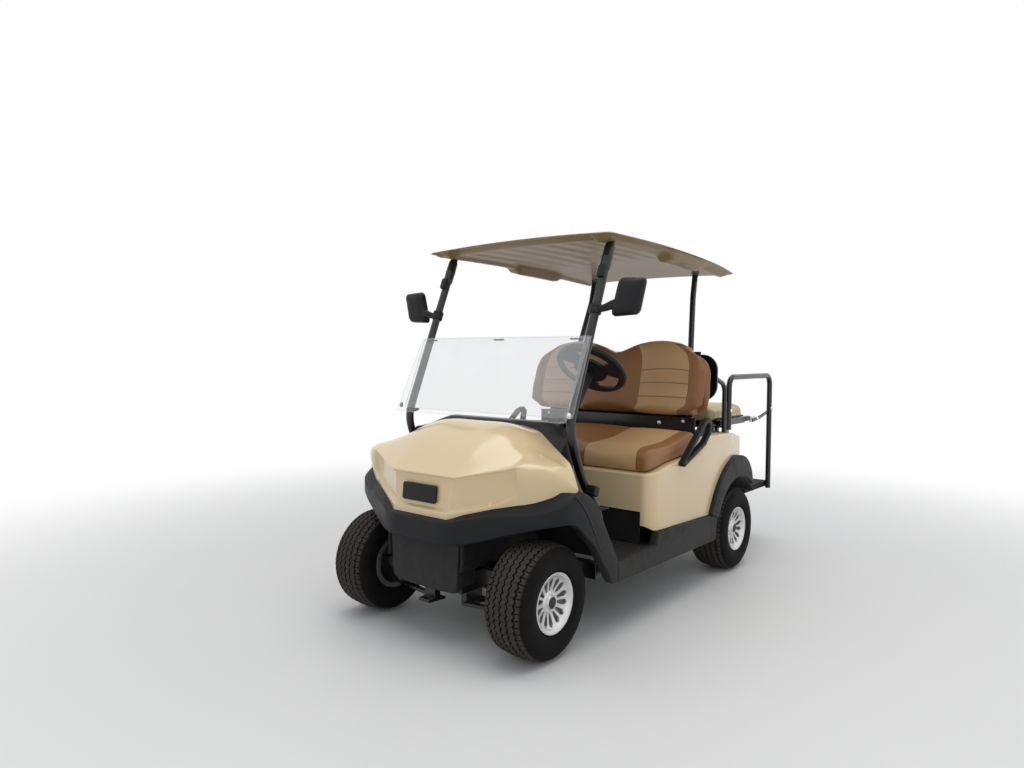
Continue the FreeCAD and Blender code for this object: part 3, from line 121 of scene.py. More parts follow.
class Net:
    """A tree of nodes that ends in one output, for a finish or for the sky."""

    def __init__(self, tree, output):
        self.tree = tree
        tree.nodes.clear()
        self.surface = tree.nodes.new(output).inputs["Surface"]

    def node(self, kind, settings=None, values=None, out=0):
        """Add a node: its settings first, then the values or links of its sockets."""
        made = self.tree.nodes.new(kind)
        for key, value in (settings or {}).items():
            setattr(made, key, value)
        for key, value in (values or {}).items():
            if isinstance(value, Value):
                self.tree.links.new(value.socket, made.inputs[key])
            else:
                made.inputs[key].default_value = value
        return Value(self, made.outputs[out])

    def looked(self):
        """1 on rays from the camera, off gloss and through glass."""
        rays = self.tree.nodes.new("ShaderNodeLightPath").outputs
        camera_ray, gloss, glass = (Value(self, rays["Is %s Ray" % kind])
                                    for kind in ("Camera", "Glossy", "Transmission"))
        return camera_ray + gloss + glass

    def show(self, shader):
        """Link a shader to the output, in place of the one before."""
        self.tree.links.new(shader.socket, self.surface)


class Finish(Net):
    """One material: a Principled shader, and the nodes that feed it."""

    def __init__(self, name, **constants):
        self.material = bpy.data.materials.new(name)
        self.material.use_nodes = True
        super().__init__(self.material.node_tree, "ShaderNodeOutputMaterial")
        self.shader = self.tree.nodes.new("ShaderNodeBsdfPrincipled")
        self.show(Value(self, self.shader.outputs[0]))
        for key, value in constants.items():
            self.shader.inputs[key.replace("_", " ")].default_value = value

    def feed(self, **links):
        """Link the shader's sockets, and give the material."""
        for key, value in links.items():
            self.tree.links.new(value.socket, self.shader.inputs[key.replace("_", " ")])
        return self.material

    def where(self, scale=(1, 1, 1)):
        """The piece's own coordinates in metres, stretched."""
        spot = self.node("ShaderNodeTexCoord", out=3)
        return self.node("ShaderNodeMapping", {"vector_type": "POINT"}, {"Vector": spot, "Scale": scale})

    def axis(self, which, place=None):
        """One coordinate of a place, or of the piece's own coordinates."""
        spot = place or self.node("ShaderNodeTexCoord", out=3)
        return self.node("ShaderNodeSeparateXYZ", {}, {"Vector": spot}, out="XYZ".index(which))

    def laid(self):
        """The two coordinates of the piece's own UV map."""
        spot = self.node("ShaderNodeUVMap", {"uv_map": "laid"})
        return self.axis("X", spot), self.axis("Y", spot)

    def noise(self, scale, detail=3.0, roughness=0.55, place=None):
        return self.node("ShaderNodeTexNoise", {}, {
            "Vector": place or self.where(), "Scale": scale, "Detail": detail, "Roughness": roughness})

    def mix(self, share, first, second):
        """A colour between two others."""
        first, second = (value if isinstance(value, Value) else tuple(value) + (1.0,) for value in (first, second))
        return self.node("ShaderNodeMix", {"data_type": "RGBA"}, {0: share, 6: first, 7: second}, out=2)

    def tinted(self, share, colour, low, high):
        """A colour between a darker and a lighter form of itself."""
        return self.mix(share, shaded(colour, low), shaded(colour, high))

    def bump(self, height, strength, distance, below=None):
        values = {"Height": height, "Strength": strength, "Distance": distance}
        if below is not None:
            values["Normal"] = below
        return self.node("ShaderNodeBump", {}, values)

    def pebbled(self, strength, folds):
        """Vinyl's pebbled grain on top of its folds."""
        pebble = self.node("ShaderNodeTexVoronoi", {"feature": "SMOOTH_F1"}, {
            "Vector": self.where(), "Scale": 620.0, "Smoothness": 0.5})
        return self.bump(pebble, strength, 0.0005, folds)


def shaded(colour, factor):
    """A colour times a factor, no part of it over 1."""
    return tuple(min(1.0, c * factor) for c in colour)


def gelcoat(name, colour, roughness, coat):
    """Glossy moulded skin: cloudy colour, dust low down, and a faint ripple."""
    f = Finish(name, Coat_Weight=coat, Coat_Roughness=0.10, IOR=1.5)
    dust = (1.0 - f.axis("Z").above(0.42, 0.22)) * f.noise(7.0)
    base = f.tinted(f.noise(3.0, 4.0), colour, 0.955, 1.03)
    return f.feed(Base_Color=f.mix(dust * 0.30, base, shaded(colour, 0.70)),
                  Roughness=roughness + 0.05 * f.noise(14.0) + 0.10 * dust,
                  Normal=f.bump(f.noise(230.0, 2.0), 0.05, 0.002))


def grained_plastic(name, colour, roughness, grain=900.0, strength=0.25):
    """Moulded plastic with a fine pebbled grain, scuffs and settled dust."""
    f = Finish(name, IOR=1.46, Specular_IOR_Level=0.24)
    scuff = f.noise(9.0, 6.0, 0.7).above(0.56, 0.1)
    dust = (1.0 - f.axis("Z").above(0.36, 0.16)) * f.noise(30.0, 5.0)
    base = f.mix(scuff * 0.5, colour, shaded(colour, 1.5))
    return f.feed(Base_Color=f.mix(dust * 0.35, base, (0.13, 0.115, 0.095)),
                  Roughness=roughness + 0.12 * scuff + 0.15 * dust,
                  Normal=f.bump(f.noise(grain, 2.0), strength, 0.0006))


def powder_coat(name, colour, roughness):
    """Gloss black coat on steel: a slight orange peel and dull patches."""
    f = Finish(name, IOR=1.5, Coat_Weight=0.35, Coat_Roughness=0.12, Specular_IOR_Level=0.4)
    dull = f.noise(14.0, 5.0)
    return f.feed(Base_Color=f.mix(dull, colour, shaded(colour, 1.8)), Roughness=roughness + 0.16 * dull,
                  Normal=f.bump(f.noise(420.0, 2.0), 0.12, 0.0008))


def bare_metal(name, colour, roughness, metallic=1.0):
    """Bright metal with a fine grain and a few dull stains."""
    f = Finish(name, Metallic=metallic)
    return f.feed(Base_Color=f.tinted(f.noise(60.0, 5.0), colour, 0.9, 1.06),
                  Roughness=roughness + 0.14 * f.noise(300.0),
                  Normal=f.bump(f.noise(1400.0, 1.0), 0.05, 0.0003))


def vinyl(name, colour, crease=0.35):
    """Soft vinyl: pebbled grain, long soft creases and a slight shine on the high spots."""
    f = Finish(name, IOR=1.48, Sheen_Weight=0.08, Sheen_Roughness=0.4)
    cloud = f.noise(7.0, 4.0)
    fold = f.noise(11.0, 3.0, 0.5, f.where((1.0, 1.0, 2.2)))
    return f.feed(Base_Color=f.tinted(cloud, colour, 0.88, 1.08), Roughness=0.34 + 0.16 * cloud,
                  Normal=f.pebbled(0.22, f.bump(fold, crease, 0.012)))


def sewn_vinyl(name, inner, outer, channels=(), painted_light_factor=1.0):
    """
    Vinyl in two colours by the pad's own UV: the insert between two seams is tan and the rest caramel. Each seam is a
    sunk line darkened with painted shade, with a raised fold on both sides, and channels are sunk lines across the
    insert, darkened with painted shade too.
    """
    f = Finish(name, IOR=1.48, Sheen_Weight=0.06, Sheen_Roughness=0.4, Coat_Weight=0.12, Coat_Roughness=0.35)
    across, up = f.laid()
    across = abs(across)
    cloud = f.noise(7.0, 4.0)
    insert = across.above(inner, 0.0008) * (1.0 - across.above(outer, 0.0008))
    gaps = [abs(across - seam) for seam in (inner, outer)]
    # line darkens the colour along the seams and channels as painted shade in their sunk grooves.
    line = sum((1.0 - gap.above(0.0022, 0.0012) for gap in gaps), 0.0)
    fold = sum((1.0 - gap.above(0.010, 0.008) for gap in gaps), 0.0)
    for channel in channels:
        line = line + insert * (1.0 - abs(up - channel).above(0.0020, 0.0014)) * 0.8
        fold = fold + insert * (1.0 - abs(up - channel).above(0.012, 0.010))
    # Both colours are scaled by the factor. Above 1 it is painted light: the same vinyl drawn brighter where it is
    # better lit.
    tan = f.tinted(cloud, TAN, 0.92 * painted_light_factor, 1.06 * painted_light_factor)
    brown = f.tinted(cloud, CARAMEL, 0.90 * painted_light_factor, 1.10 * painted_light_factor)
    height = f.noise(9.0, 3.0, 0.5, f.where((1.0, 1.0, 2.2))) + fold * 0.4 - line * 0.9
    return f.feed(Base_Color=f.mix(line * 0.75, f.mix(insert, brown, tan), shaded(CARAMEL, 0.30)),
                  Roughness=0.33 + 0.15 * cloud, Normal=f.pebbled(0.2, f.bump(height, 0.45, 0.006)))


def wheel_silver(name):
    """Silver alloy by the rim's own UV: bright where it is level, painted shade in the slots and on the back, a black
    cap.
    """
    f = Finish(name)
    sunk, radius = f.laid()
    cap = 1.0 - radius.above(0.0232, 0.0006)
    # dark paints shade: the slot pockets stand for through-holes and get their shadow, and the rim's back gets the
    # shade behind the wheel. The cap's black is its own.
    dark = sunk.above(0.008, 0.006) * 0.74 + cap + radius.above(0.15, 0.01) * 0.85
    dark = dark.sum("MINIMUM", dark, 1.0)
    silver = f.mix(f.noise(60.0, 5.0), (0.60, 0.60, 0.595), (0.74, 0.74, 0.73))
    return f.feed(Base_Color=f.mix(dark, silver, (0.014, 0.014, 0.015)), Metallic=0.9 * (1.0 - dark),
                  Roughness=0.26 + 0.12 * f.noise(300.0) + 0.2 * dark)


def clear_sheet(name):
    """Clear acrylic with a cloudy pale haze and light scratches."""
    f = Finish(name, IOR=1.45)
    haze = f.noise(5.0, 4.0)
    return f.feed(Base_Color=f.mix(haze, (0.90, 0.93, 0.945), (0.95, 0.965, 0.975)),
                  Roughness=0.08 + 0.1 * f.noise(50.0, 5.0).above(0.55, 0.1), Alpha=0.08 + 0.06 * haze)


def rubber(name, colour):
    """Tyre rubber: brown dust on the tread blocks, black grooves and a faintly dusty sidewall."""
    f = Finish(name, IOR=1.5, Specular_IOR_Level=0.12)
    sunk, radius = f.laid()
    dust = f.noise(18.0, 6.0, 0.65)
    worn = f.mix(dust, (0.038, 0.034, 0.030), (0.076, 0.067, 0.056))
    wall = f.mix(dust.above(0.5, 0.22) * 0.35, colour, (0.020, 0.0185, 0.017))
    outside = f.mix(radius.above(0.2165, 0.0035), wall, worn)
    return f.feed(Base_Color=f.mix(sunk.above(0.0022, 0.0012), outside, (0.007, 0.0065, 0.006)),
                  Roughness=0.62 + 0.2 * dust, Normal=f.bump(f.noise(700.0), 0.2, 0.0008))


IVORY = (0.86, 0.66, 0.385)
CARAMEL = (0.275, 0.118, 0.036)
TAN = (0.56, 0.345, 0.160)
CREAM = (0.70, 0.55, 0.32)

# Where the pads are sewn: seams across in metres on the cushion and in shares of the half width on the back, and
# channels in metres up the back.
CUSHION_SEAMS = (0.20, 0.49)
BACK_SEAMS = (0.33, 0.845)
CHANNELS = (0.058, 0.121, 0.183)

FINISHES = {
    "ivory": gelcoat("ivory_gelcoat", IVORY, 0.20, 0.55),
    # The roof's colour is its own beige drawn darker, as painted shade for its shadowed underside.
    "roof_beige": gelcoat("roof_beige_painted_shade", (0.265, 0.180, 0.080), 0.42, 0.1),
    "charcoal": grained_plastic("charcoal_moulding", (0.0115, 0.0120, 0.0140), 0.46),
    "soft_black": grained_plastic("soft_black_moulding", (0.0150, 0.0154, 0.0170), 0.40, 1200.0, 0.2),
    "black_steel": powder_coat("black_tube_coat", (0.0050, 0.0052, 0.0058), 0.22),
    "grey_steel": bare_metal("grey_forging", (0.24, 0.235, 0.225), 0.42, 0.8),
    "alloy": bare_metal("silver_alloy", (0.80, 0.80, 0.81), 0.20),
    "tyre_rubber": rubber("tyre_rubber", (0.0045, 0.0044, 0.0046)),
    "clear_pane": clear_sheet("clear_acrylic"),
    "battery_case": grained_plastic("battery_casing", (0.012, 0.012, 0.013), 0.5),
    "caramel": vinyl("caramel_vinyl", CARAMEL),
    "cream_vinyl": vinyl("cream_vinyl", CREAM),
    # The cushion is the back's vinyl drawn 1.25 times brighter, as painted light.
    "sewn_cushion": sewn_vinyl("cushion_vinyl_painted_light", *CUSHION_SEAMS, painted_light_factor=1.25),
    "sewn_back": sewn_vinyl("back_vinyl", *BACK_SEAMS, channels=CHANNELS),
    "wheel_silver": wheel_silver("wheel_silver"),
    "chrome": bare_metal("bright_zinc", (0.78, 0.78, 0.78), 0.16),
    "pane_edge": clear_sheet("pane_edge"),
    "ribbed_mat": grained_plastic("ribbed_mat", (0.0125, 0.0128, 0.0135), 0.72, 500.0, 0.4),
}

NODE_BODY = {node: body for body, names in frame["record"]["behaviour"]["bodies"].items() for node in names}
NODE_SLOT = {part["node"]: part["material_slot"] for part in frame["record"]["subparts"]}

for part, slot in NODE_SLOT.items():
    nodes[part].data.materials.clear()
    nodes[part].data.materials.append(FINISHES[slot])


# Shapes.


def straight(knots, values, t):
    """Each column of a table read along straight lines between its rows."""
    return np.stack([np.interp(t, knots, column) for column in np.array(values, float).T], -1)


def flowing(knots, values, t):
    """A table read along a smooth curve: cubic pieces whose slopes are the differences of its rows."""
    knots = np.array(knots, float)
    values = np.array(values, float)
    slopes = np.gradient(values, knots, axis=0)
    row = np.clip(np.searchsorted(knots, t, side="right") - 1, 0, len(knots) - 2)
    spread = (-1,) + (1,) * (values.ndim - 1)
    step = (knots[row + 1] - knots[row]).reshape(spread)
    s = np.clip((t - knots[row]).reshape(spread) / step, 0.0, 1.0)
    start = (1 + 2 * s) * (1 - s) ** 2 * values[row] + s * (1 - s) ** 2 * step * slopes[row]
    return start + s * s * (3 - 2 * s) * values[row + 1] - s * s * (1 - s) * step * slopes[row + 1]


def curve(table, t):
    """The second column of a table, read along a smooth curve over its first."""
    table = np.array(table, float)
    return flowing(table[:, 0], table[:, 1:], t)[:, 0]


def eased(t):
    """0 to 1 with level ends: 3t2 - 2t3, held outside."""
    t = np.clip(t, 0.0, 1.0)
    return t * t * (3 - 2 * t)


def rounded(t):
    """A quarter circle: 0 where t is 0 or less, and 1 where it is 1."""
    return 1 - np.sqrt(1 - np.clip(t, 0, 1) ** 2)


def stations(knots, step, near=0.0):
    """Places from the first knot to the last, no wider apart than the step; near adds one each side of a knot."""
    knots = sorted(set(knots))
    if near:
        knots = sorted(knots + [k + d for k in knots[1:-1] for d in (-near, near)])
    runs = [np.linspace(a, b, max(1, int(math.ceil((b - a) / step - 1e-9))) + 1)[:-1]
            for a, b in zip(knots[:-1], knots[1:])]
    return np.concatenate(runs + [[knots[-1]]])


def mirrored(t):
    """Places on both sides of 0, from those on one."""
    return np.concatenate([-t[:0:-1], t])


def both_ways(line):
    """A plan's left half with its mirror image in front of it."""
    return np.concatenate([line[:0:-1] * (-1, 1), line])


def spread(x, y, z):
    """Points on a grid, from three arrays that are each carried over the whole of it."""
    return np.stack(np.broadcast_arrays(x, y, z), -1)


def walked(line):
    """How far along a line each of its points lies."""
    return np.concatenate([[0.0], np.cumsum(np.linalg.norm(np.diff(line, axis=0), axis=1))])


def loop(half_wide, half_high, radius, steps=6):
    """A rounded rectangle as a closed row of points: four quarter circles round the corners' centres."""
    turn = np.linspace(0.0, math.pi / 2, steps)
    angle = np.concatenate([turn + k * math.pi / 2 for k in range(4)])
    side = np.repeat([1, -1, -1, 1], steps), np.repeat([1, 1, -1, -1], steps)
    wide, high, radius = (value[..., None] for value in np.broadcast_arrays(half_wide, half_high, radius))
    return np.stack([side[0] * (wide - radius) + radius * np.cos(angle),
                     side[1] * (high - radius) + radius * np.sin(angle)], -1)


def circle(radius, steps=14):
    """A round section."""
    angle = np.arange(steps) * 2 * math.pi / steps
    return np.stack([np.cos(angle), np.sin(angle)], -1) * radius


def bent(points, radius, step=0.008):
    """A line through corners, each cut by a quadratic curve, and then divided evenly by length."""
    points = np.array(points, float)
    run = [points[:1]]
    t = np.linspace(0.0, 1.0, 9)[:, None]
    for before, corner, after in zip(points[:-2], points[1:-1], points[2:]):
        reach = [min(radius, 0.48 * np.linalg.norm(other - corner)) for other in (before, after)]
        a, b = (corner + (other - corner) / np.linalg.norm(other - corner) * r
                for other, r in zip((before, after), reach))
        run.append((1 - t) ** 2 * a + 2 * t * (1 - t) * corner + t * t * b)
    run = np.concatenate(run + [points[-1:]])
    length = walked(run)
    return straight(length, run, np.linspace(0.0, length[-1], int(length[-1] / step) + 1))


def ring_of(corners, radius, step):
    """A closed line through corners, rounded and divided evenly; it starts midway along a side."""
    corners = [np.array(corner, float) for corner in corners]
    start = (corners[0] + corners[-1]) / 2
    return bent([start] + corners + [start], radius, step)[:-1]


def swept(path, section, up=(0, 0, 1)):
    """A section carried along a path: its first number goes across the run and up, and its second the other way."""
    path = np.asarray(path, float)
    run = np.gradient(path, axis=0)
    run /= np.linalg.norm(run, axis=1, keepdims=True)
    side = np.cross(run, np.broadcast_to(np.array(up, float), run.shape))
    side /= np.linalg.norm(side, axis=1, keepdims=True)
    top = np.cross(side, run)
    section = np.broadcast_to(section, (len(path),) + np.shape(section)[-2:])
    return path[:, None] + side[:, None] * section[..., :1] + top[:, None] * section[..., 1:]


def capped(grid, shrink=(0.0, 0.6, 0.92)):
    """A grid of closed rows whose two ends are drawn in to a point, ring by ring."""
    shrink = np.array(shrink)[:, None, None]
    first, last = grid[:1].mean(1, keepdims=True), grid[-1:].mean(1, keepdims=True)
    return np.concatenate([first + (grid[:1] - first) * shrink, grid, last + (grid[-1:] - last) * shrink[::-1]])


def made(name, work, mesh, sharp):
    """An object from a worked mesh, smooth but for its sharp edges."""
    work.to_mesh(mesh)
    work.free()
    mesh.shade_smooth()
    mesh.set_sharp_from_angle(angle=math.radians(sharp))
    return placed(name, mesh)


def corners_of(grid):
    """The four corners of each cell of a grid."""
    return np.stack([grid[:-1, :-1], grid[1:, :-1], grid[1:, 1:], grid[:-1, 1:]], 2)


def skin(name, points, marks=None, around=False, along=False, outward=None, sharp=35.0):
    """
    A mesh on a grid of points, a quad to each cell. around closes each row and along closes each column.
    marks holds the UV of each point, one more where the grid closes. An open sheet faces outward. Four numbers of
    points are several like grids in one mesh.
    """
    rows, columns = points.shape[-3:-1]
    number = np.pad(np.arange(rows * columns).reshape(rows, columns), ((0, along), (0, around)), mode="wrap")
    grids = np.arange(points.size // (3 * rows * columns))[:, None, None]
    cells = (corners_of(number).reshape(1, -1, 4) + grids * rows * columns).reshape(-1, 4)
    mesh = bpy.data.meshes.new(name)
    mesh.from_pydata(points.reshape(-1, 3).tolist(), [], cells.tolist())
    if marks is not None:
        mesh.uv_layers.new(name="laid").data.foreach_set("uv", corners_of(marks).astype(np.float32).ravel())
    work = bmesh.new()
    work.from_mesh(mesh)
    bmesh.ops.remove_doubles(work, verts=work.verts, dist=1e-6)
    if outward is None:
        bmesh.ops.recalc_face_normals(work, faces=work.faces)
    else:
        work.normal_update()
        towards = Vector(outward)
        if sum(face.normal.dot(towards) * face.calc_area() for face in work.faces) < 0:
            bmesh.ops.reverse_faces(work, faces=work.faces)
    return made(name, work, mesh, sharp)


def fitted(piece, finish, body="cart", instead=()):
    """Give a piece its finish, its body and the nodes it stands for."""
    piece.data.materials.clear()
    piece.data.materials.append(FINISHES[finish])
    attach(piece, body)
    if instead:
        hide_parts(*instead)
    return piece


def thick(piece, wall):
    """A wall inward of a sheet."""
    solid = piece.modifiers.new("wall", "SOLIDIFY")
    solid.thickness = wall
    solid.offset = -1.0
    solid.use_even_offset = True
    return piece


def rod(name, path, section, up=(0, 0, 1), ends=(0.0, 0.9), finish="black_steel", instead=(), body="cart"):
    """A section carried along a path and closed at both ends, with its mirror image. Y is from the front axle."""
    both(name, capped(swept(path, section, up), ends), finish, instead, body)


def both(name, points, finish, instead=(), body="cart"):
    """A closed piece and its mirror image in one mesh. Y is from the front axle."""
    image = (points * (-1, 1, 1))[:, ::-1]
    piece = skin(name, np.stack([points, image]) + (0, FRONT_AXLE, 0), around=True, sharp=40.0)
    return fitted(piece, finish, body, instead)


def lining(name, points, lean):
    """A dark sheet on each side, 3 mm thick; lean is how far it faces outboard rather than down."""
    for side, ending in SIDES:
        piece = skin(name + ending, points * (side, 1, 1), outward=(side * lean, 0, -1))
        fitted(thick(piece, 0.003), "soft_black")


# Copies of plain CAD nodes with their edges rounded: node, radius of the edge, its steps.
SOFTENED = (
    ("rocker_panels", 0.006, 3), ("kick_panel", 0.0015, 1), ("tow_bracket", 0.002, 2),
    ("seat_back_frame", 0.002, 2), ("windscreen_clips", 0.0015, 2), ("pedals", 0.002, 2),
    ("rear_seat_frame", 0.002, 2), ("footplate", 0.0022, 2), ("flip_deck", 0.0015, 2), ("rear_body", 0.009, 3),
    ("armrests", 0.009, 4), ("chassis_frame", 0.003, 2), ("front_lower_arms", 0.002, 2),
    ("rear_back_frame", 0.003, 2), ("well_cover", 0.0012, 1), ("toe_board", 0.001, 1),
)
SHARP_EDGE = 30.0


def soften_all():
    """Each listed node's mesh merged, its flat parts joined, and its edges rounded by a bevel."""
    for node, width, segments in SOFTENED:
        work = bmesh.new()
        work.from_mesh(nodes[node].data)
        bmesh.ops.remove_doubles(work, verts=work.verts, dist=1e-5)
        bmesh.ops.dissolve_limit(work, angle_limit=math.radians(1.0), verts=work.verts, edges=work.edges)
        piece = made(node + "_soft", work, bpy.data.meshes.new(node + "_soft"), SHARP_EDGE)
        edge = piece.modifiers.new("edge", "BEVEL")
        edge.width = width
        edge.segments = segments
        edge.limit_method = "ANGLE"
        edge.angle_limit = math.radians(SHARP_EDGE)
        edge.harden_normals = False
        finish = "ribbed_mat" if node == "footplate" else NODE_SLOT[node]
        fitted(piece, finish, NODE_BODY[node], (node,))


# Nose cowl: a sloping face, a crease that fades into the wings, and a hood that runs up to the dash.

COWL_KNOTS = (0.0, 0.25, 0.50, 0.72, 0.82, 0.92, 1.0)
COWL_LINES = (
    # share of the way from the middle to the side, x, y behind the front axle, z
    # foot of the face
    ((0.0, 0, -0.205, 0.514), (0.25, 0.151, -0.205, 0.514), (0.50, 0.309, -0.1225, 0.551),
     (0.72, 0.450, -0.049, 0.586), (0.82, 0.512, -0.008, 0.607), (0.92, 0.560, 0.042, 0.632),
     (1.0, 0.585, 0.090, 0.655)),
    # crease
    ((0.0, 0, -0.186, 0.703), (0.25, 0.181, -0.186, 0.703), (0.50, 0.309, -0.128, 0.731),
     (0.72, 0.424, -0.076, 0.756), (0.82, 0.505, -0.030, 0.750), (0.92, 0.562, 0.030, 0.714),
     (1.0, 0.585, 0.092, 0.664)),
    # hood's brow
    ((0.0, 0, 0.0, 0.843), (0.25, 0.19, 0.0, 0.840), (0.50, 0.32, 0.010, 0.816), (0.72, 0.43, 0.030, 0.788),
     (0.82, 0.505, 0.046, 0.769), (0.92, 0.555, 0.066, 0.732), (1.0, 0.585, 0.093, 0.661)),
    # hood's crest
    ((0.0, 0, 0.130, 0.896), (0.25, 0.19, 0.130, 0.891), (0.38, 0.28, 0.130, 0.868), (0.47, 0.34, 0.125, 0.840),
     (0.56, 0.40, 0.120, 0.805), (0.66, 0.46, 0.115, 0.778), (0.78, 0.52, 0.100, 0.757), (0.90, 0.56, 0.095, 0.720),
     (1.0, 0.585, 0.095, 0.663)),
    # hood's rear edge
    ((0.0, 0, 0.249, 0.886), (0.20, 0.14, 0.248, 0.884), (0.31, 0.21, 0.243, 0.877), (0.42, 0.295, 0.225, 0.862),
     (0.49, 0.34, 0.203, 0.845), (0.57, 0.39, 0.181, 0.820), (0.71, 0.475, 0.146, 0.780),
     (0.85, 0.545, 0.105, 0.748), (0.93, 0.57, 0.098, 0.700), (1.0, 0.585, 0.096, 0.660)),
)
CREASE_AT = 0.40
COWL_ROWS = (0.0, CREASE_AT, 0.62, 0.82, 1.0)
COWL_WALL = 0.0045
FACE_SUNK = 0.015


def nose_cowl():
    """
    Five lines across the nose, joined upwards: straight to the crease and smooth over the hood near the middle,
    and one smooth curve at the wings. The face is sunk 15 mm between a shelf at its foot and the crease.
    """
    u = stations(COWL_KNOTS, 0.011)
    v = stations((0.0, 0.06, 0.12, 0.376, 0.390, CREASE_AT, 0.62, 1.0), 0.010, 0.003)
    # The face and crease run straight between their facets out to the wing, and the hood is smooth all along.
    lines = []
    for number, table in enumerate(COWL_LINES):
        knots, places = [row[0] for row in table], [row[1:] for row in table]
        share = eased((u - 0.66) / 0.08)[:, None] if number < 2 else 1.0
        lines.append(straight(knots, places, u) * (1 - share) + flowing(knots, places, u) * share)
    lines = np.stack(lines)
    face = flowing(COWL_ROWS, lines, v)
    lower = v < CREASE_AT
    broken = face.copy()
    share = (v[lower] / CREASE_AT)[:, None, None]
    broken[lower] = lines[0] * (1 - share) + lines[1] * share
    broken[~lower] = flowing(COWL_ROWS[1:], lines[1:], v[~lower])
    fade = eased((u - 0.66) / 0.10)[None, :, None]
    points = broken * (1 - fade) + face * fade
    height = (v / CREASE_AT)[:, None]
    edge = 0.675 + 0.045 * height
    # The shelf under the sunk panel is widest at the panel's outer end.
    shelf = 0.20 + 0.15 * eased((u - 0.44) / 0.22) - 0.03 * eased((u - 0.50) / 0.01)
    sunk = eased((height - shelf) / 0.10) * eased((0.975 - height) / 0.035) * eased((edge - u) / 0.07)
    normal = np.cross(np.gradient(points, axis=0), np.gradient(points, axis=1))
    normal /= np.maximum(np.linalg.norm(normal, axis=-1, keepdims=True), 1e-9)
    normal *= np.where(normal[..., 1:2] > 0, -1.0, 1.0)
    normal[~lower] = 0.0
    points = points - normal * (FACE_SUNK * sunk)[..., None]
    points = np.concatenate([points[:, :0:-1] * (-1, 1, 1), points], 1)
    piece = skin("nose_cowl", points + (0, FRONT_AXLE, 0), outward=(0, -1, 0.6), sharp=24.0)
    fitted(thick(piece, COWL_WALL), "ivory", instead=("front_cowl",))


# Bumper and front wings: one dark moulding round the nose. All but the plan are heights or slopes by the place in Y.

WING_PLAN = ((0, -0.230), (0.166, -0.230), (0.490, -0.074), (0.594, -0.008), (0.6005, 0.090), (0.600, 0.374))
WING_SLOPE = ((-0.24, 0.012), (-0.225, 0.014), (-0.145, 0.032), (-0.07, 0.050), (0.0, 0.050), (0.05, 0.034),
              (0.10, 0.020), (0.16, 0.006), (0.21, 0.0), (0.38, 0.0))
WING_TOP = ((-0.24, 0.531), (-0.225, 0.535), (-0.200, 0.554), (-0.145, 0.582), (-0.07, 0.608), (-0.03, 0.630),
            (0.0, 0.645), (0.05, 0.657), (0.10, 0.657), (0.15, 0.642), (0.20, 0.602), (0.25, 0.535), (0.28, 0.485),
            (0.33, 0.405), (0.380, 0.330))
WING_LOW = ((-0.24, 0.430), (-0.18, 0.450), (-0.12, 0.487), (-0.02, 0.533), (0.060, 0.527), (0.142, 0.462),
            (0.199, 0.416), (0.250, 0.350), (0.300, 0.290), (0.340, 0.236), (0.380, 0.232))
WING_HALF = 0.022


def wing_moulding():
    """
    A rounded section 44 mm deep carried round the plan, its top and foot read from their own curves. The top slopes
    down to the outer face by the fall of WING_SLOPE.
    """
    plan = both_ways(bent(WING_PLAN, 0.05))
    run = np.gradient(plan, axis=0)
    run /= np.linalg.norm(run, axis=1, keepdims=True)
    inward = np.stack([-run[:, 1], run[:, 0]], 1)
    fall = np.interp(plan[:, 1], *np.array(WING_SLOPE).T)
    top = np.interp(plan[:, 1], *np.array(WING_TOP).T) + 0.34 * fall
    low = curve(WING_LOW, plan[:, 1])
    high = np.maximum((top - low) / 2, 0.016)
    ring = loop(WING_HALF, high, 0.009)
    deep, rise = ring[..., 0], ring[..., 1]
    outer = (WING_HALF - deep) / (2 * WING_HALF)
    x, y = (plan[:, None] + inward[:, None] * (deep + WING_HALF)[..., None]).transpose(2, 0, 1)
    z = ((top + low) / 2)[:, None] + rise - fall[:, None] * outer * np.clip(rise / high[:, None], 0, 1)
    piece = skin("bumper_and_wings", capped(spread(x, y + FRONT_AXLE, z)), around=True)
    fitted(piece, "charcoal", instead=("front_bumper",))


def front_liners():
    """A dark sheet inside each front wing: it stands beside the chassis and bends out over the tyre."""
    y = np.linspace(-0.180, 0.335, 24)
    out = np.interp(y, (-0.19, -0.066, 0.0, 0.09), (0.225, 0.445, 0.560, 0.578))
    across, up = bent([(0.0, 0.325), (0.0, 0.545), (1.0, 0.552)], 0.05, 0.03).T
    lining("front_liner_", spread(0.215 + (out - 0.215)[:, None] * across, y[:, None] + FRONT_AXLE, up), 1)


# Rear wing trims: crescents round the wheel openings, their outer edge by the angle up from straight back.

TRIM_OUTER = ((51, 0.310), (64, 0.369), (77, 0.403), (94, 0.412), (110, 0.407), (126, 0.396), (146, 0.388),
              (159, 0.392))
TRIM_INNER = 0.294
TRIM_MIDDLE = 0.586


def round_rear_axle(x, reach, degrees):
    """Points at a distance from the rear axle, turned up from straight back."""
    turn = np.radians(degrees)[:, None]
    return spread(x, REAR_AXLE + reach * np.cos(turn), AXLE_HEIGHT + reach * np.sin(turn))


def wing_trims():
    """A rounded section between an inner circle and an outer curve, carried round the rear axle."""
    turn = np.linspace(51, 159, 73)
    outer = curve(TRIM_OUTER, turn)
    ring = loop((outer - TRIM_INNER) / 2, 0.021, 0.007)
    reach = (outer + TRIM_INNER)[:, None] / 2 + ring[..., 0]
    for side, ending in SIDES:
        points = round_rear_axle(side * (TRIM_MIDDLE + ring[..., 1]), reach, turn)
        piece = skin("rear_trim_" + ending, capped(points), around=True)
        fitted(piece, "charcoal", instead=("rear_wing_trims",))


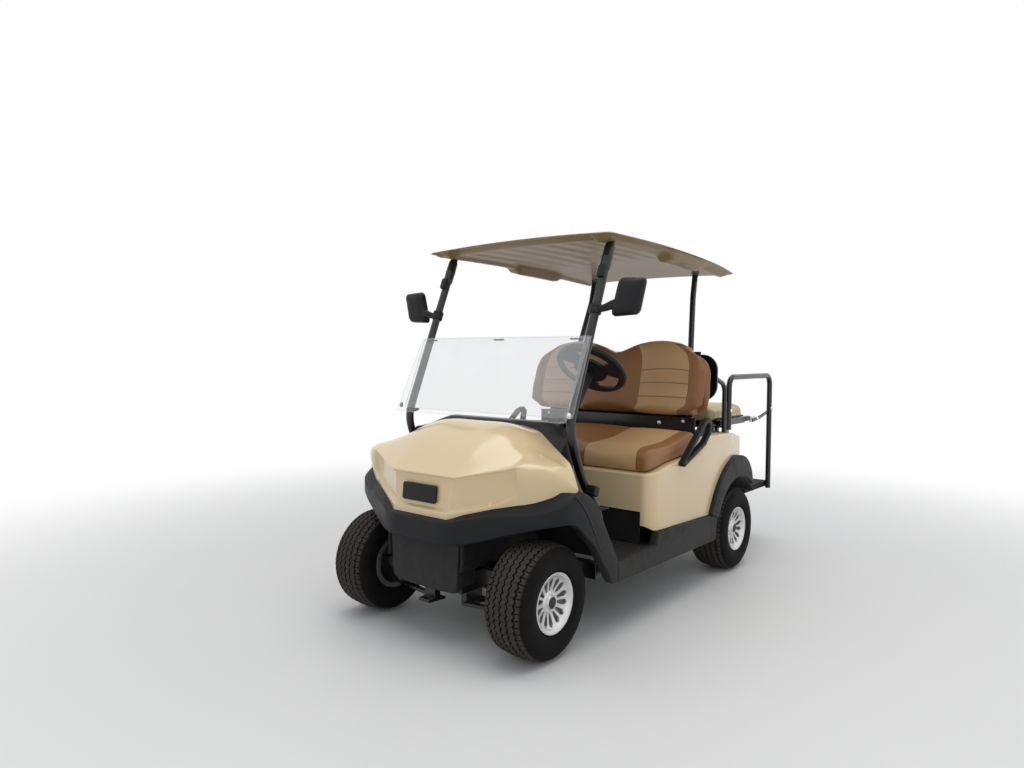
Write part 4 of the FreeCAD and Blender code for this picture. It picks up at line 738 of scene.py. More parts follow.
def wheel_liners():
    """A dark sheet bent round each rear wheel opening: a wall inside the wheel, then out to the trim's inner edge."""
    across, reach = bent([(0.376, 0.130), (0.376, 0.2925), (0.592, 0.2925)], 0.025, 0.02).T
    lining("rear_liner_", round_rear_axle(across, reach, np.linspace(38, 157, 40)), 0)


# Roof: one moulded skin with a crown, a thin drooping edge and ribs along its underside.

# Half width and level of the roof by the place in Y.
ROOF_WIDTH = ((0.380, 0.551), (0.70, 0.551), (1.00, 0.546), (1.30, 0.538), (1.60, 0.522), (1.795, 0.500))
ROOF_LEVEL = ((0.380, 1.7315), (0.80, 1.7325), (1.20, 1.723), (1.50, 1.708), (1.795, 1.684))
ROOF_CORNER = 0.036
ROOF_CROWN = 0.015
ROOF_WALL = 0.007
ROOF_LIP = 0.0045
RIB_DEEP = 0.006
RIB_PITCH = 0.115
ROOF_LOWEST = 1.642


def roof_skin():
    """
    A closed sheet: the crown falls with the square of the distance from the middle, the wall thins to a
    half-round lip at the plan's rounded edge, and the underside steps down along ribs and side gutters.
    """
    front, rear = ROOF_WIDTH[0][0], ROOF_WIDTH[-1][0]
    tip = 0.03 * (1 - np.cos(np.linspace(0, math.pi / 2, 8)))
    v = np.unique(np.concatenate([stations((0.0, 0.03, 0.97, 1.0), 0.018), tip, 1 - tip]))
    y = front + (rear - front) * v
    width = curve(ROOF_WIDTH, y)
    for end in (front, rear):
        width = width - ROOF_CORNER * rounded(1 - np.abs(y - end) / ROOF_CORNER)
    half = np.sin(np.linspace(0, math.pi / 2, 46)) * 0.35 + np.linspace(0, 1, 46) * 0.65
    across = mirrored(half)
    x = width[:, None] * across
    level = curve(ROOF_LEVEL, y)[:, None]
    y, off = y[:, None], np.abs(x)
    inset = np.minimum(np.minimum(y - front, rear - y), width[:, None] * (1 - np.abs(across)))
    top = level - ROOF_CROWN * (x / 0.55) ** 2 - 0.006 * (1 - eased(inset / 0.035))
    rib = eased((0.15 + 0.5 * np.cos(x * 2 * math.pi / RIB_PITCH)) / 0.3) * eased((inset - 0.10) / 0.03)
    rib = rib * eased((0.36 - off) / 0.02) * eased((1.24 - y) / 0.20)
    gutter = eased((off - 0.425) / 0.015) * eased((inset - 0.020) / 0.010)
    hold = eased((y - 0.96) / 0.05) * eased((1.43 - y) / 0.08)
    slit = eased((off - 0.465) / 0.008) * eased((0.505 - off) / 0.008)
    wall = ROOF_WALL + 0.020 * eased((inset - 0.02) / 0.05) + RIB_DEEP * rib
    wall = wall + gutter * (0.012 + 0.026 * hold - 0.006 * slit)
    lip = 0.5 * wall * rounded(1 - inset / ROOF_LIP)
    upper, lower = spread(x, y, top - lip), spread(x, y, np.maximum(top - wall + lip, ROOF_LOWEST))
    points = np.concatenate([upper, lower[:, -2:0:-1]], 1) + (0, FRONT_AXLE, 0)
    fitted(skin("roof_skin", points, around=True, sharp=50.0), "roof_beige", instead=("roof",))


# Tyres: a section carried round the axle, with zigzag grooves, shoulder slots and a smooth sidewall.

TYRE_SECTION = (
    # across the tyre from its middle, radius, tread depth, how far the zigzag moves it
    (-0.0835, 0.1045, 0, 0), (-0.0835, 0.1225, 0, 0), (-0.0895, 0.1250, 0, 0), (-0.0930, 0.1285, 0, 0),
    (-0.0965, 0.1350, 0, 0), (-0.1005, 0.1480, 0, 0), (-0.1022, 0.1600, 0, 0), (-0.1023, 0.1720, 0, 0),
    (-0.1008, 0.1835, 0, 0), (-0.0975, 0.1950, 0, 0), (-0.0930, 0.2040, 0, 0), (-0.0890, 0.2105, 0.3, 0),
    (-0.0835, 0.2160, 0.8, 0), (-0.0760, 0.2205, 1, 0.3), (-0.0660, 0.2232, 1, 1),
)
# A groove's section: across it, and down.
GROOVE = ((-0.0042, 0.0), (-0.0028, 0.0065), (0.0, 0.0070), (0.0028, 0.0065), (0.0042, 0.0))
GROOVE_STEP = 0.030
PITCHES = 52
PITCH_STEPS = 8
ZIGZAG = 0.005
SHOULDER_CUT = 0.005
BLOCK_CUT = 0.0025


def tyre(name, centre, body):
    """
    Rows go round the axle, eight to a pitch of the zigzag, and columns go across. A column near a groove moves
    with a triangle wave of 5 mm, so that the groove's walls follow it, and a groove's floor is 7 mm down. The
    crown's radius falls with the second and fourth powers of the distance from the middle.
    """
    rows = [row + (0.0,) for row in TYRE_SECTION]
    land = GROOVE[-1][0]
    for number in range(-2, 3):
        groove = number * GROOVE_STEP
        rows += [(groove + offset, 0.0, 1, 1, down) for offset, down in GROOVE]
        if number < 2:
            rows += [(groove + land + share * (GROOVE_STEP - 2 * land), 0.0, 1, 1, 0.0) for share in (0.33, 0.67)]
    rows += [(-row[0],) + row[1:] + (0.0,) for row in TYRE_SECTION[::-1]]
    across, radius, tread, sway, down = np.array(rows).T
    radius = np.where(radius == 0, TYRE_RADIUS - 0.55 * across ** 2 / 0.38 - 90 * across ** 4, radius)
    radius = radius * TYRE_RADIUS / radius.max()
    count = PITCHES * PITCH_STEPS
    step = np.arange(count)[:, None]
    phase = step % PITCH_STEPS / PITCH_STEPS
    place = across + ZIGZAG * (4 * np.abs(phase - 0.5) - 1) * sway
    off, halfway = np.abs(across), np.abs(phase - 0.5) < 0.07
    slot = halfway * (off > 0.064) * (tread > 0.2)
    # Short cuts across the blocks: between the inner grooves at a pitch's start, the outer ones at its middle.
    inner, outer = (np.abs(off - share * GROOVE_STEP) < 0.0085 for share in (0.5, 1.5))
    cut = (phase < 0.01) * inner | halfway * outer
    deep = down + SHOULDER_CUT * slot * tread + BLOCK_CUT * cut
    angle = step * 2 * math.pi / count
    points = spread(place, (radius - deep) * np.sin(angle), (radius - deep) * np.cos(angle)) + centre
    points = np.concatenate([points, (points[:, :1] + points[:, -1:]) / 2], 1)
    deep = np.concatenate([deep, np.zeros((count, 1)), deep[:, :1]], 1)
    deep = np.concatenate([deep, deep[:1]])
    marks = np.stack(np.broadcast_arrays(deep, np.concatenate([radius, [TYRE_SECTION[0][1]], radius[:1]])), -1)
    piece = skin(name, points, marks, around=True, along=True, sharp=40.0)
    fitted(piece, "tyre_rubber", body, (name.replace("_tread", ""),))


# Rims: a turned dish with seven pairs of long slots, four wheel nuts and a dark cap.

RIM_PROFILE = (
    # radius, distance outwards from the wheel's middle
    (0.0, 0.0795), (0.010, 0.0795), (0.0195, 0.0792), (0.0222, 0.0782), (0.0232, 0.0762), (0.0240, 0.0772),
    (0.0262, 0.0762), (0.0275, 0.0730), (0.0290, 0.0708), (0.0390, 0.0698), (0.0415, 0.0682), (0.0440, 0.0652),
    (0.0480, 0.0648), (0.0700, 0.0688), (0.0900, 0.0745), (0.0960, 0.0768), (0.1000, 0.0800), (0.1035, 0.0852),
    (0.1075, 0.0885), (0.1110, 0.0898), (0.1150, 0.0916), (0.1195, 0.0918), (0.1208, 0.0905), (0.1208, 0.0850),
    (0.1200, 0.0842), (0.1045, 0.0838), (0.1030, 0.0820), (0.1030, -0.0820), (0.1045, -0.0838), (0.1200, -0.0842),
    (0.1208, -0.0850), (0.1208, -0.0905), (0.1195, -0.0918), (0.1000, -0.0915), (0.0975, -0.0890), (0.0970, 0.0200),
    (0.0940, 0.0430), (0.0800, 0.0450), (0.0440, 0.0450), (0.0420, 0.0430), (0.0420, 0.0210), (0.0174, 0.0200),
    (0.0174, 0.0628), (0.0, 0.0632),
)
FACE_ROWS = 22
SLOT_IN, SLOT_OUT = 0.0470, 0.0965
SLOT_DEEP = 0.016
PAIRS = 7
PAIR_LEAN = math.radians(11.8)
NUT_CIRCLE = 0.0345
NUT_RADIUS = 0.0048
NUT_HIGH = 0.0045


def rim(name, centre, side, body):
    """
    The profile turned about the axle. Columns go out along each slot's two edges, which close in half circles at
    its ends, so a slot is the columns and rows between them pushed in. Nuts are small domes on the hub's plate.
    """
    radius, out = np.array(RIM_PROFILE).T
    face, back = radius[:FACE_ROWS], radius[FACE_ROWS:]
    front = np.concatenate([face, np.linspace(SLOT_IN, SLOT_IN + 0.007, 8), np.linspace(0.057, 0.086, 8),
                            np.linspace(SLOT_OUT - 0.009, SLOT_OUT, 9), np.linspace(0.030, 0.0385, 9),
                            [SLOT_IN - 0.0006, SLOT_OUT + 0.0006]])
    front = np.unique(front.round(6))
    out = np.concatenate([np.interp(front, face, out[:FACE_ROWS]), out[FACE_ROWS:]])
    radius = np.concatenate([front, back])
    on_face = np.arange(len(radius)) < len(front)
    # A slot's half angle at each radius.
    half = np.interp(radius, (SLOT_IN, 0.060, 0.085, SLOT_OUT), (0.0056, 0.0074, 0.0118, 0.0122))
    end = np.minimum(radius - SLOT_IN, SLOT_OUT - radius)
    half = np.maximum(half * (1 - rounded(1 - end / half)), 0.0012) / np.maximum(radius, 0.02)
    offsets, depths = mirrored(np.array((0, 0.5, 0.88, 1.0, 1.08, 1.3))), np.array((1, 1, 1, 0.04, 0.0, 0))
    depths = np.concatenate([depths[:0:-1], depths])
    pitch = 2 * math.pi / PAIRS
    turn, low = [], []
    for pair in range(PAIRS):
        for way in (-1, 1):
            middle = pair * pitch + way * PAIR_LEAN
            turn += [middle + offset * half for offset in offsets]
            reach = (2 * PAIR_LEAN if way < 0 else pitch - 2 * PAIR_LEAN) - 2 * offsets[-1] * half
            turn += [middle + offsets[-1] * half + share * reach for share in (0.25, 0.5, 0.75)]
            low += list(depths) + [0.0] * 3
    turn = np.array(turn)
    deep = SLOT_DEEP * np.array(low)[:, None] * (on_face & (end >= -1e-9))
    out = out - deep
    y, z = radius * np.cos(turn), radius * np.sin(turn)
    for angle in np.radians((45, 135, 225, 315)):
        gap = np.hypot(y - NUT_CIRCLE * math.cos(angle), z - NUT_CIRCLE * math.sin(angle))
        out = out + on_face * NUT_HIGH * eased((NUT_RADIUS - gap) / 0.0026)
    # Back rows get a radius mark of 0.2, which the finish paints dark as painted shade.
    marks = np.stack(np.broadcast_arrays(deep, np.where(on_face, radius, 0.2)), -1)
    marks = np.concatenate([marks, marks[:1]])
    piece = skin(name, spread(side * out, y, z) + centre, marks, along=True, sharp=38.0)
    fitted(piece, "wheel_silver", body, (name.replace("_disc", ""),))


# Small parts: struts and what they carry, mirrors, panes, plates and bolts.

STRUT_PATH = ((0.500, 0.384, 0.440), (0.498, 0.372, 0.524), (0.486, 0.262, 0.676), (0.480, 0.178, 0.890),
              (0.4731, 0.496, 1.690))
# The strut's upper run, between its elbow and the roof.
STRUT_LOW = np.array((0.480, 0.178, 0.890))
STRUT_HIGH = np.array((0.473, 0.500, 1.700))
STRUT_SECTION = (0.0205, 0.0172)


def on_strut(z):
    """The point of the left front strut's upper run at a height."""
    return STRUT_LOW + (STRUT_HIGH - STRUT_LOW) * (z - STRUT_LOW[2]) / (STRUT_HIGH[2] - STRUT_LOW[2])


def collar(name, low, high, radii, finish):
    """A round sleeve on each front strut between two heights, its radius read from a row of numbers."""
    path = [on_strut(z) for z in np.linspace(low, high, len(radii))]
    rod(name, path, circle(1.0, 24) * np.array(radii)[:, None, None], (0, 1, 0), finish=finish)


def strut_tubes():
    """An oval section carried up each front strut's bent line."""
    rod("strut_tubes", bent(STRUT_PATH, 0.06, 0.014), circle(1.0, 20) * STRUT_SECTION, (0, 1, 0),
        instead=("front_struts",))


def strut_fittings():
    """Sleeves under the roof, and holders for a raised pane."""
    collar("strut_sleeves", 1.560, 1.672, np.interp(
        np.linspace(0, 1, 15), (0, 0.06, 0.4, 0.48, 0.55, 0.94, 1),
        (0.0205, 0.0240, 0.0240, 0.0262, 0.0240, 0.0230, 0.0205)), "black_steel")
    path = [on_strut(z) + (0.0, -0.020, -0.006) for z in np.linspace(1.535, 1.585, 7)]
    high = np.array((0.011, 0.014, 0.014, 0.014, 0.014, 0.014, 0.011))
    rod("pane_holders", path, loop(0.017, high, 0.005), (0, 1, 0), finish="soft_black")


# The left mirror seen from the front: x and z of its corners. Then depth and share of the outline, front to back.
MIRROR_QUAD = ((0.549, 1.354), (0.680, 1.360), (0.714, 1.510), (0.591, 1.516))
MIRROR_SHELL = ((0.3535, 0.0), (0.3536, 0.2), (0.3542, 0.4), (0.3560, 0.62), (0.3600, 0.80), (0.3660, 0.91),
                (0.3740, 0.97), (0.3860, 1.0), (0.3945, 1.0), (0.3972, 0.985), (0.3975, 0.95), (0.3950, 0.94),
                (0.3950, 0.5), (0.3950, 0.0))
MIRROR_GLASS = ((0.3945, 0.0), (0.3945, 0.925), (0.3960, 0.925), (0.3962, 0.90), (0.3962, 0.0))


def mirrors():
    """Housings: a rounded four-sided section drawn in towards a domed front, with a rim round the glass."""
    a, b = loop(1.0, 1.0, 0.30, 7).T
    outline = sum(np.array(corner) * ((1 + sa * a) * (1 + sb * b) / 4)[:, None]
                  for corner, (sa, sb) in zip(MIRROR_QUAD, ((-1, -1), (1, -1), (1, 1), (-1, 1))))
    middle = outline.mean(0)
    for name, finish, table, instead in (("mirror_heads", "soft_black", MIRROR_SHELL, ("mirrors",)),
                                         ("mirror_glass", "chrome", MIRROR_GLASS, ())):
        y, share = np.array(table).T[:, :, None]
        x, z = (middle + (outline - middle) * share[:, None]).transpose(2, 0, 1)
        both(name, spread(x, y, z), finish, instead)
    clamp = on_strut(1.386)
    arm = bent([clamp + (0.012, -0.004, 0.0), clamp + (0.050, -0.002, 0.006), (0.565, 0.372, 1.405),
                (0.600, 0.376, 1.412)], 0.03)
    size = np.linspace(0, 1, len(arm))
    rod("mirror_arms", arm, loop(0.010 + 0.004 * size, 0.013 + 0.008 * size, 0.007 + 0.002 * size),
        ends=(0.0, 0.6, 0.92), finish="soft_black")
    collar("mirror_clamps", 1.366, 1.410, (0.0215, 0.0265, 0.0270, 0.0270, 0.0255, 0.0270, 0.0270, 0.0265, 0.0215),
           "soft_black")


# Each pane: heights of its lower and upper edge, and how far each lies in front of the lower pane's plane.
PANES = (("lower_pane_edge", 0.932, 1.272, 0.0, 0.0), ("upper_pane_edge", 0.917, 1.268, 0.046, 0.012))
PANE_HALF = 0.499
PANE_OFF = 0.017
PANE_THICK = 0.0056
PANE_BEAD = 0.0031


def pane_edges():
    """A rounded bead along each edge of the two panes, where light gathers in the sheet."""
    lean = (STRUT_HIGH - STRUT_LOW)[1] / (STRUT_HIGH - STRUT_LOW)[2]
    for name, low, high, off_low, off_high in PANES:
        foot, head = (on_strut(z)[1] - PANE_OFF * math.sqrt(1 + lean ** 2) - PANE_THICK / 2 - off
                      for z, off in ((low, off_low), (high, off_high)))
        start = (0.0, foot, low)
        line = bent([start, (PANE_HALF, foot, low), (PANE_HALF, head, high), (-PANE_HALF, head, high),
                     (-PANE_HALF, foot, low), start], 0.014, 0.012)[:-1]
        ring = swept(np.vstack([line[-1:], line, line[:1]]), circle(PANE_BEAD, 8), (0.0, 1.0, 0.15))[1:-1]
        piece = skin(name, ring + (0, FRONT_AXLE, 0), around=True, along=True, sharp=180.0)
        fitted(piece, "pane_edge")


# The dash's side outline at the middle: Y behind the front axle, and z.
DASH_OUT = ((0.290, 0.903), (0.385, 0.892), (0.420, 0.850), (0.396, 0.700), (0.352, 0.566), (0.330, 0.566),
            (0.330, 0.690), (0.190, 0.745))


def dash():
    """The dash's side outline carried across; near its sides it is drawn forward and its top follows the hood."""
    edge = np.array([row[1:] for row in COWL_LINES[4]]).T
    across = mirrored(stations((0.0, 0.20, 0.30, 0.452), 0.019))
    rings = []
    for x in np.abs(across):
        y, z = (np.interp(x, edge[0], column) for column in edge[1:])
        share = float(eased((x - 0.27) / 0.19))
        outline = np.array(DASH_OUT)
        outline[:3, 1] -= 0.060 * share
        outline[:, 0] = y + (outline[:, 0] - y) * (1 - 0.62 * share)
        rings.append(ring_of(list(outline) + [(y - 0.030, z - 0.040), (y + 0.004, z - 0.006)], 0.016, 0.014))
    # Every ring is divided again, into as many steps as the shortest has.
    spots = np.linspace(0, 1, min(len(ring) for ring in rings) + 1)[:-1]
    rings = np.array([straight(np.linspace(0, 1, len(ring) + 1), np.vstack([ring, ring[:1]]), spots)
                      for ring in rings])
    points = spread(across[:, None], rings[..., 0] + FRONT_AXLE, rings[..., 1])
    piece = skin("dash_moulding", capped(points, (0.0, 0.5, 0.9)), around=True, sharp=50.0)
    fitted(piece, "soft_black", instead=("dash_panel",))


def shield():
    """A shallow channel hung in front of the chassis: its plan narrows downwards and rounds in at its foot."""
    x, y = both_ways(bent([(0.0, -0.184), (0.6, -0.182), (1.0, -0.176), (1.0, -0.070)], 0.03, 0.02)).T
    z = np.concatenate([np.linspace(0.470, 0.266, 15), 0.262 - 0.036 * np.sin(np.linspace(0, 1, 9) * math.pi / 2)])
    z = z[:, None]
    foot = rounded((0.262 - z) / 0.036)
    wide = np.interp(z, (0.226, 0.41, 0.47), (0.189, 0.203, 0.203)) - 0.034 * foot
    piece = skin("nose_shield", spread(wide * x, y + 0.010 * foot + FRONT_AXLE, z), outward=(0, -1, 0), sharp=50.0)
    fitted(thick(piece, 0.004), "charcoal", instead=("front_shield",))


# A bare plate's section, from its back over its rolled edge: depth, and share of its outline.
BADGE_ROWS = ((0.0, 0.0), (0.0, 0.9), (0.0002, 0.965), (0.0012, 0.99), (0.0030, 1.0), (0.0080, 1.0), (0.0080, 0.0))


def badge_plate():
    """A bare dark plate with rounded corners on the nose's middle panel, its edge rolled."""
    y, share = np.array(BADGE_ROWS).T[:, :, None]
    x, z = loop(0.095, 0.0365, 0.011, 7).T[:, None] * share
    lean = math.atan2(0.019, 0.179)
    points = spread(x * 1.04 - 0.012, -0.1945 + y * math.cos(lean) + z * math.sin(lean) + FRONT_AXLE,
                    0.621 + z * math.cos(lean) - y * math.sin(lean))
    fitted(skin("badge_plate", points, around=True, sharp=50.0), "soft_black")


APRON_SEAM = ((0.6003, 0.050, 0.648), (0.6006, 0.106, 0.604), (0.6006, 0.157, 0.536), (0.6006, 0.210, 0.446),
              (0.6006, 0.236, 0.400))
SEAT_LINK = ((0.494, 2.120, 0.800), (0.496, 2.230, 0.812), (0.498, 2.385, 0.845))
# Flat bars with softened ends: the axis they run along, their line, stations on it, half width, half height, corner
# radius, size at the ends, which way is up, finish, slot and body.
BARS = {
    "hoop_plates": (2, (0.499, 1.716, 0), (0.742, 0.746, 0.80, 0.86, 0.90, 0.930, 0.934), 0.003, 0.034, 0.0025,
                    0.9, (0, 1, 0), "black_steel", None, "cart"),
    "strut_blocks": (0, (0, 0.292, 0.624), np.linspace(0.492, 0.545, 7), 0.019, 0.022, 0.006,
                     0.86, (0, 0.35, 1), "charcoal", None, "cart"),
    "deck_rails": (1, (0.460, 0, 0.811), (1.676, 1.679, 1.700, 1.90, 2.12, 2.141, 2.144), 0.011, 0.0155, 0.003,
                   0.9, (0, 0, 1), "black_steel", None, "flip_seat"),
    "seat_catches": (1, (0.4895, 0, 0.808), (2.096, 2.099, 2.130, 2.161, 2.164), 0.0035, 0.019, 0.003,
                     0.9, (0, 0, 1), "chrome", "grey_steel", "cart"),
}


def bar(name):
    """A rounded rectangle carried along a straight line, a little smaller at its two ends."""
    axis, line, places, wide, high, corner, small, up, finish, slot, body = BARS[name]
    size = np.array([small] + [1.0] * (len(places) - 2) + [small])
    path = np.tile(np.array(line, float), (len(places), 1))
    path[:, axis] = places
    rod(name, path, loop(wide * size, high * size, corner * size), up, (0.0, 0.92), finish, (), body)


def apron_details():
    """A rolled seam down the wing behind the wheel, and the clamp block where the strut passes the apron."""
    rod("apron_seams", bent(APRON_SEAM, 0.04, 0.010), loop(0.0042, 0.0022, 0.0018, 4), (1, 0, 0),
        finish="soft_black")
    bar("strut_blocks")


def latch():
    """A flat link from each deck rail up to the hoop's rear leg, with a bright catch plate."""
    rod("seat_links", bent(SEAT_LINK, 0.05, 0.012), loop(0.0028, 0.0105, 0.0018, 4))
    bar("deck_rails")
    bar("seat_catches")


# A bolt's profile in units of its radius: distance from the axis, and along it.
BOLT_PROFILE = ((0.0, 0.42), (0.42, 0.40), (0.50, 0.72), (0.74, 0.70), (0.93, 0.52), (1.0, 0.24), (1.42, 0.20),
                (1.50, 0.10), (1.50, -0.25), (0.0, -0.25))
# Bolts on the left side: place, the way they point, and radius.
BOLTS = (
    ((0.499, 0.150, 0.945), (1, -0.2, 0), 0.0085), ((0.300, 1.289, 0.830), (0, -1, 0), 0.0075),
    ((0.440, 1.289, 0.845), (0, -1, 0), 0.0060), ((0.515, 2.150, 0.812), (1, 0, 0), 0.0080),
    ((0.516, 1.745, 0.880), (1, 0, 0), 0.0070), ((0.516, 2.387, 0.860), (1, 0, 0), 0.0080),
)


def bolts():
    """Domed bolt heads on washers: one profile turned about each bolt's axis, on both sides of the cart."""
    profile = np.array(BOLT_PROFILE)[:, None]
    grids = []
    for side, _ in SIDES:
        for place, aim, size in BOLTS:
            aim = np.array(aim, float) * (side, 1, 1) / np.linalg.norm(aim)
            across = np.cross(aim, (0.0, 0.0, 1.0))
            across /= np.linalg.norm(across)
            turned = circle(1.0) @ np.array([across, np.cross(aim, across)])
            grids.append(np.array(place) * (side, 1, 1) + (0, FRONT_AXLE, 0)
                         + size * (profile[..., 1:] * aim + profile[..., :1] * turned))
    fitted(skin("body_bolts", np.array(grids), around=True, sharp=50.0), "chrome")


# Seats: closed pads on a grid, held along their seams and blown up as cloth between them.

CLOTH = {"quality": 4, "mass": 0.35, "tension_stiffness": 9.0, "compression_stiffness": 9.0, "shear_stiffness": 5.0,
         "bending_stiffness": 0.4, "use_pressure": True, "vertex_group_mass": "held"}
CLOTH_FRAMES = 20


def blown(piece, held, pressure, cap):
    """
    Swell a pad as pressurised cloth with its seams held, then limit how far each point went and keep the shape.
    held is 1 where a point stays.
    """
    mesh = piece.data
    piece.vertex_groups.new(name="held").add(np.nonzero(held)[0].tolist(), 1.0, "REPLACE")
    before = np.empty(len(mesh.vertices) * 3, np.float32)
    mesh.vertices.foreach_get("co", before)
    swell = piece.modifiers.new("swell", "CLOTH")
    for key, value in CLOTH.items():
        setattr(swell.settings, key, value)
    swell.settings.uniform_pressure_force = pressure
    swell.settings.effector_weights.gravity = 0.0
    swell.collision_settings.use_self_collision = False
    for number in range(1, CLOTH_FRAMES + 1):
        scene.frame_set(number)
    shown = piece.evaluated_get(bpy.context.evaluated_depsgraph_get())
    after = np.empty_like(before)
    shown.data.vertices.foreach_get("co", after)
    piece.modifiers.remove(swell)
    scene.frame_set(1)
    move = (after - before).reshape(-1, 3)
    far = np.linalg.norm(move, axis=1, keepdims=True)
    move *= cap * np.tanh(far / cap) / np.maximum(far, 1e-9)
    mesh.vertices.foreach_set("co", before + move.ravel())
    mesh.update()


PAD_ENDS = (0.0, 0.22, 0.45, 0.68, 0.88)


def pad(name, points, marks, held, pressure, cap, finish, body, node):
    """A closed pad from a grid of closed rows: its ends drawn in to points, blown up, and divided once."""
    ends = (len(PAD_ENDS),) * 2
    grid = capped(points, PAD_ENDS)
    piece = skin(name, grid, np.pad(marks, (ends, (0, 0), (0, 0)), mode="edge"), around=True, sharp=180.0)
    held = np.pad(held * 1.0, (ends, (0, 0))).ravel()
    # Merging leaves one point at each end, so the held values are found again by place.
    tree = KDTree(len(held))
    for number, place in enumerate(grid.reshape(-1, 3)):
        tree.insert(place, number)
    tree.balance()
    blown(piece, held[[tree.find(vertex.co)[1] for vertex in piece.data.vertices]], pressure, cap)
    smooth = piece.modifiers.new("smooth", "SUBSURF")
    smooth.levels = 1
    smooth.render_levels = 1
    fitted(piece, finish, body, (node,))


def sewn_at(places, seams):
    """Which places lie on a seam."""
    return np.isclose(np.abs(places), np.array(seams)[:, None]).any(0)


def marks_on(across, ring):
    """UV of a pad: the place across it, and the distance round its closed ring."""
    return np.stack(np.meshgrid(across, walked(np.vstack([ring, ring[:1]])), indexing="ij"), -1)


# The cushion's side outline: Y behind the front axle, and z.
CUSHION_RING = ((0.884, 0.678), (0.712, 0.650), (0.708, 0.672), (0.712, 0.735), (0.742, 0.758), (0.960, 0.768),
                (1.178, 0.808), (1.214, 0.795), (1.208, 0.718), (1.176, 0.700))
CUSHION_HALF = 0.552


def seat_cushion():
    """The cushion's side outline carried across, its ends rounded, with four seams from foot to rear."""
    ring = ring_of(CUSHION_RING, 0.030, 0.0105)
    across = mirrored(stations((0.0,) + CUSHION_SEAMS + (CUSHION_HALF,), 0.0115))
    draw = 0.060 * rounded(1 - (CUSHION_HALF - np.abs(across)) / 0.045)[:, None]
    middle = ring.mean(0)
    y = middle[0] + (ring[:, 0] - middle[0]) * (1 - draw)
    z = middle[1] + (ring[:, 1] - middle[1]) * (1 - 3 * draw)
    low = (ring[:, 1] < 0.70) & (ring[:, 0] > 0.73)
    seam = sewn_at(across, CUSHION_SEAMS) | (np.abs(across) > CUSHION_HALF - 0.001)
    pad("front_cushion", spread(across[:, None], y + FRONT_AXLE, z), marks_on(across, ring), seam[:, None] | low,
        16.0, 0.026, "sewn_cushion", "cart", "seat_cushion")


# The back's half width by the share of its height, and its height by the share of its half width.
BACK_WIDTH = ((0.0, 0.500), (0.06, 0.545), (0.18, 0.558), (0.50, 0.556), (0.74, 0.545), (0.88, 0.515), (0.96, 0.470),
              (1.0, 0.440))
BACK_TOP = ((0.0, 0.325), (0.10, 0.338), (0.30, 0.371), (0.55, 0.390), (0.75, 0.386), (0.90, 0.372), (1.0, 0.352))
BACK_HIGH = 0.39
BACK_DEEP = 0.100
BACK_TILT = math.radians(14.0)
BACK_FOOT = (1.239, 0.893)
BACK_PIVOT = 0.055


def seat_back():
    """
    A tilted pad: a rounded strip of the back's thickness carried across, its top following two lobes and its
    sides drawn in with height; two upright seams a side, and three channels sewn across the inserts.
    """
    height = stations((0.0,) + CHANNELS + (0.26, BACK_HIGH), 0.0105) / BACK_HIGH
    # Front face from the foot to the top, over the top, down the rear face, and back under the foot.
    turn = np.linspace(0, math.pi, 9)[1:-1]
    deep = BACK_DEEP / 2
    ring = np.concatenate([np.stack([0 * height, height], -1),
                           np.stack([deep * (1 - np.cos(turn)), 1 + 0.055 * np.sin(turn)], -1),
                           np.stack([0 * height + BACK_DEEP, height], -1)[::-1],
                           np.stack([deep * (1 + np.cos(turn)), -0.035 * np.sin(turn)], -1)])
    share = mirrored(stations((0.0,) + BACK_SEAMS + (1.0,), 0.0205))
    off = np.abs(share)
    x = share[:, None] * curve(BACK_WIDTH, np.clip(ring[:, 1], 0, 1))
    out = (ring[:, 0] - deep) * (1 - 0.30 * rounded(1 - (1 - off) / 0.05))[:, None]
    up = ring[:, 1] * (curve(BACK_TOP, off)[:, None] - 0.02)
    y = BACK_FOOT[0] + (out + BACK_PIVOT) * math.cos(BACK_TILT) + up * math.sin(BACK_TILT)
    z = BACK_FOOT[1] - out * math.sin(BACK_TILT) + up * math.cos(BACK_TILT)
    points = spread(x, y + FRONT_AXLE, z)
    place = np.arange(len(ring)) - len(height) - len(turn)
    behind = (place >= 0) & (place < len(height))
    sewn = sewn_at(ring[:, 1] * BACK_HIGH, CHANNELS) & (place < -len(turn))
    inside = (off > BACK_SEAMS[0]) & (off < BACK_SEAMS[1])
    seam = sewn_at(share, BACK_SEAMS) | (off > 0.99)
    pad("front_seat_back", points, marks_on(share, points[len(share) // 2]),
        seam[:, None] | behind | (sewn & inside[:, None]),
        16.0, 0.028, "sewn_back", "cart", "seat_back")


def box_pad(name, low, high, body, node):
    """A rectangular pad: a rounded section carried across between rounded ends, held along its underside or back."""
    low, high = np.array(low, float), np.array(high, float)
    centre, size = (low + high) / 2, (high - low) / 2
    half = size[1:]
    ring = ring_of([(-half[0], half[1]), (-half[0], -half[1]), (half[0], -half[1]), (half[0], half[1])],
                   0.585 * min(half), 0.0125)
    across = mirrored(stations((0.0, size[0] - 0.03, size[0]), 0.0125))
    draw = rounded(1 - (size[0] - np.abs(across)) / 0.05)[:, None, None] * np.minimum(0.03 / half, 0.5)
    y, z = (centre[1:] + ring * (1 - draw)).transpose(2, 0, 1)
    flat = (ring[:, 1] < -half[1] + 0.004) if half[1] < half[0] else (ring[:, 0] > half[0] - 0.004)
    pad(name, spread(across[:, None], y, z), marks_on(across, ring), np.tile(flat, (len(across), 1)),
        4.0, 0.012, "cream_vinyl", body, node)


# Floor, light and background.

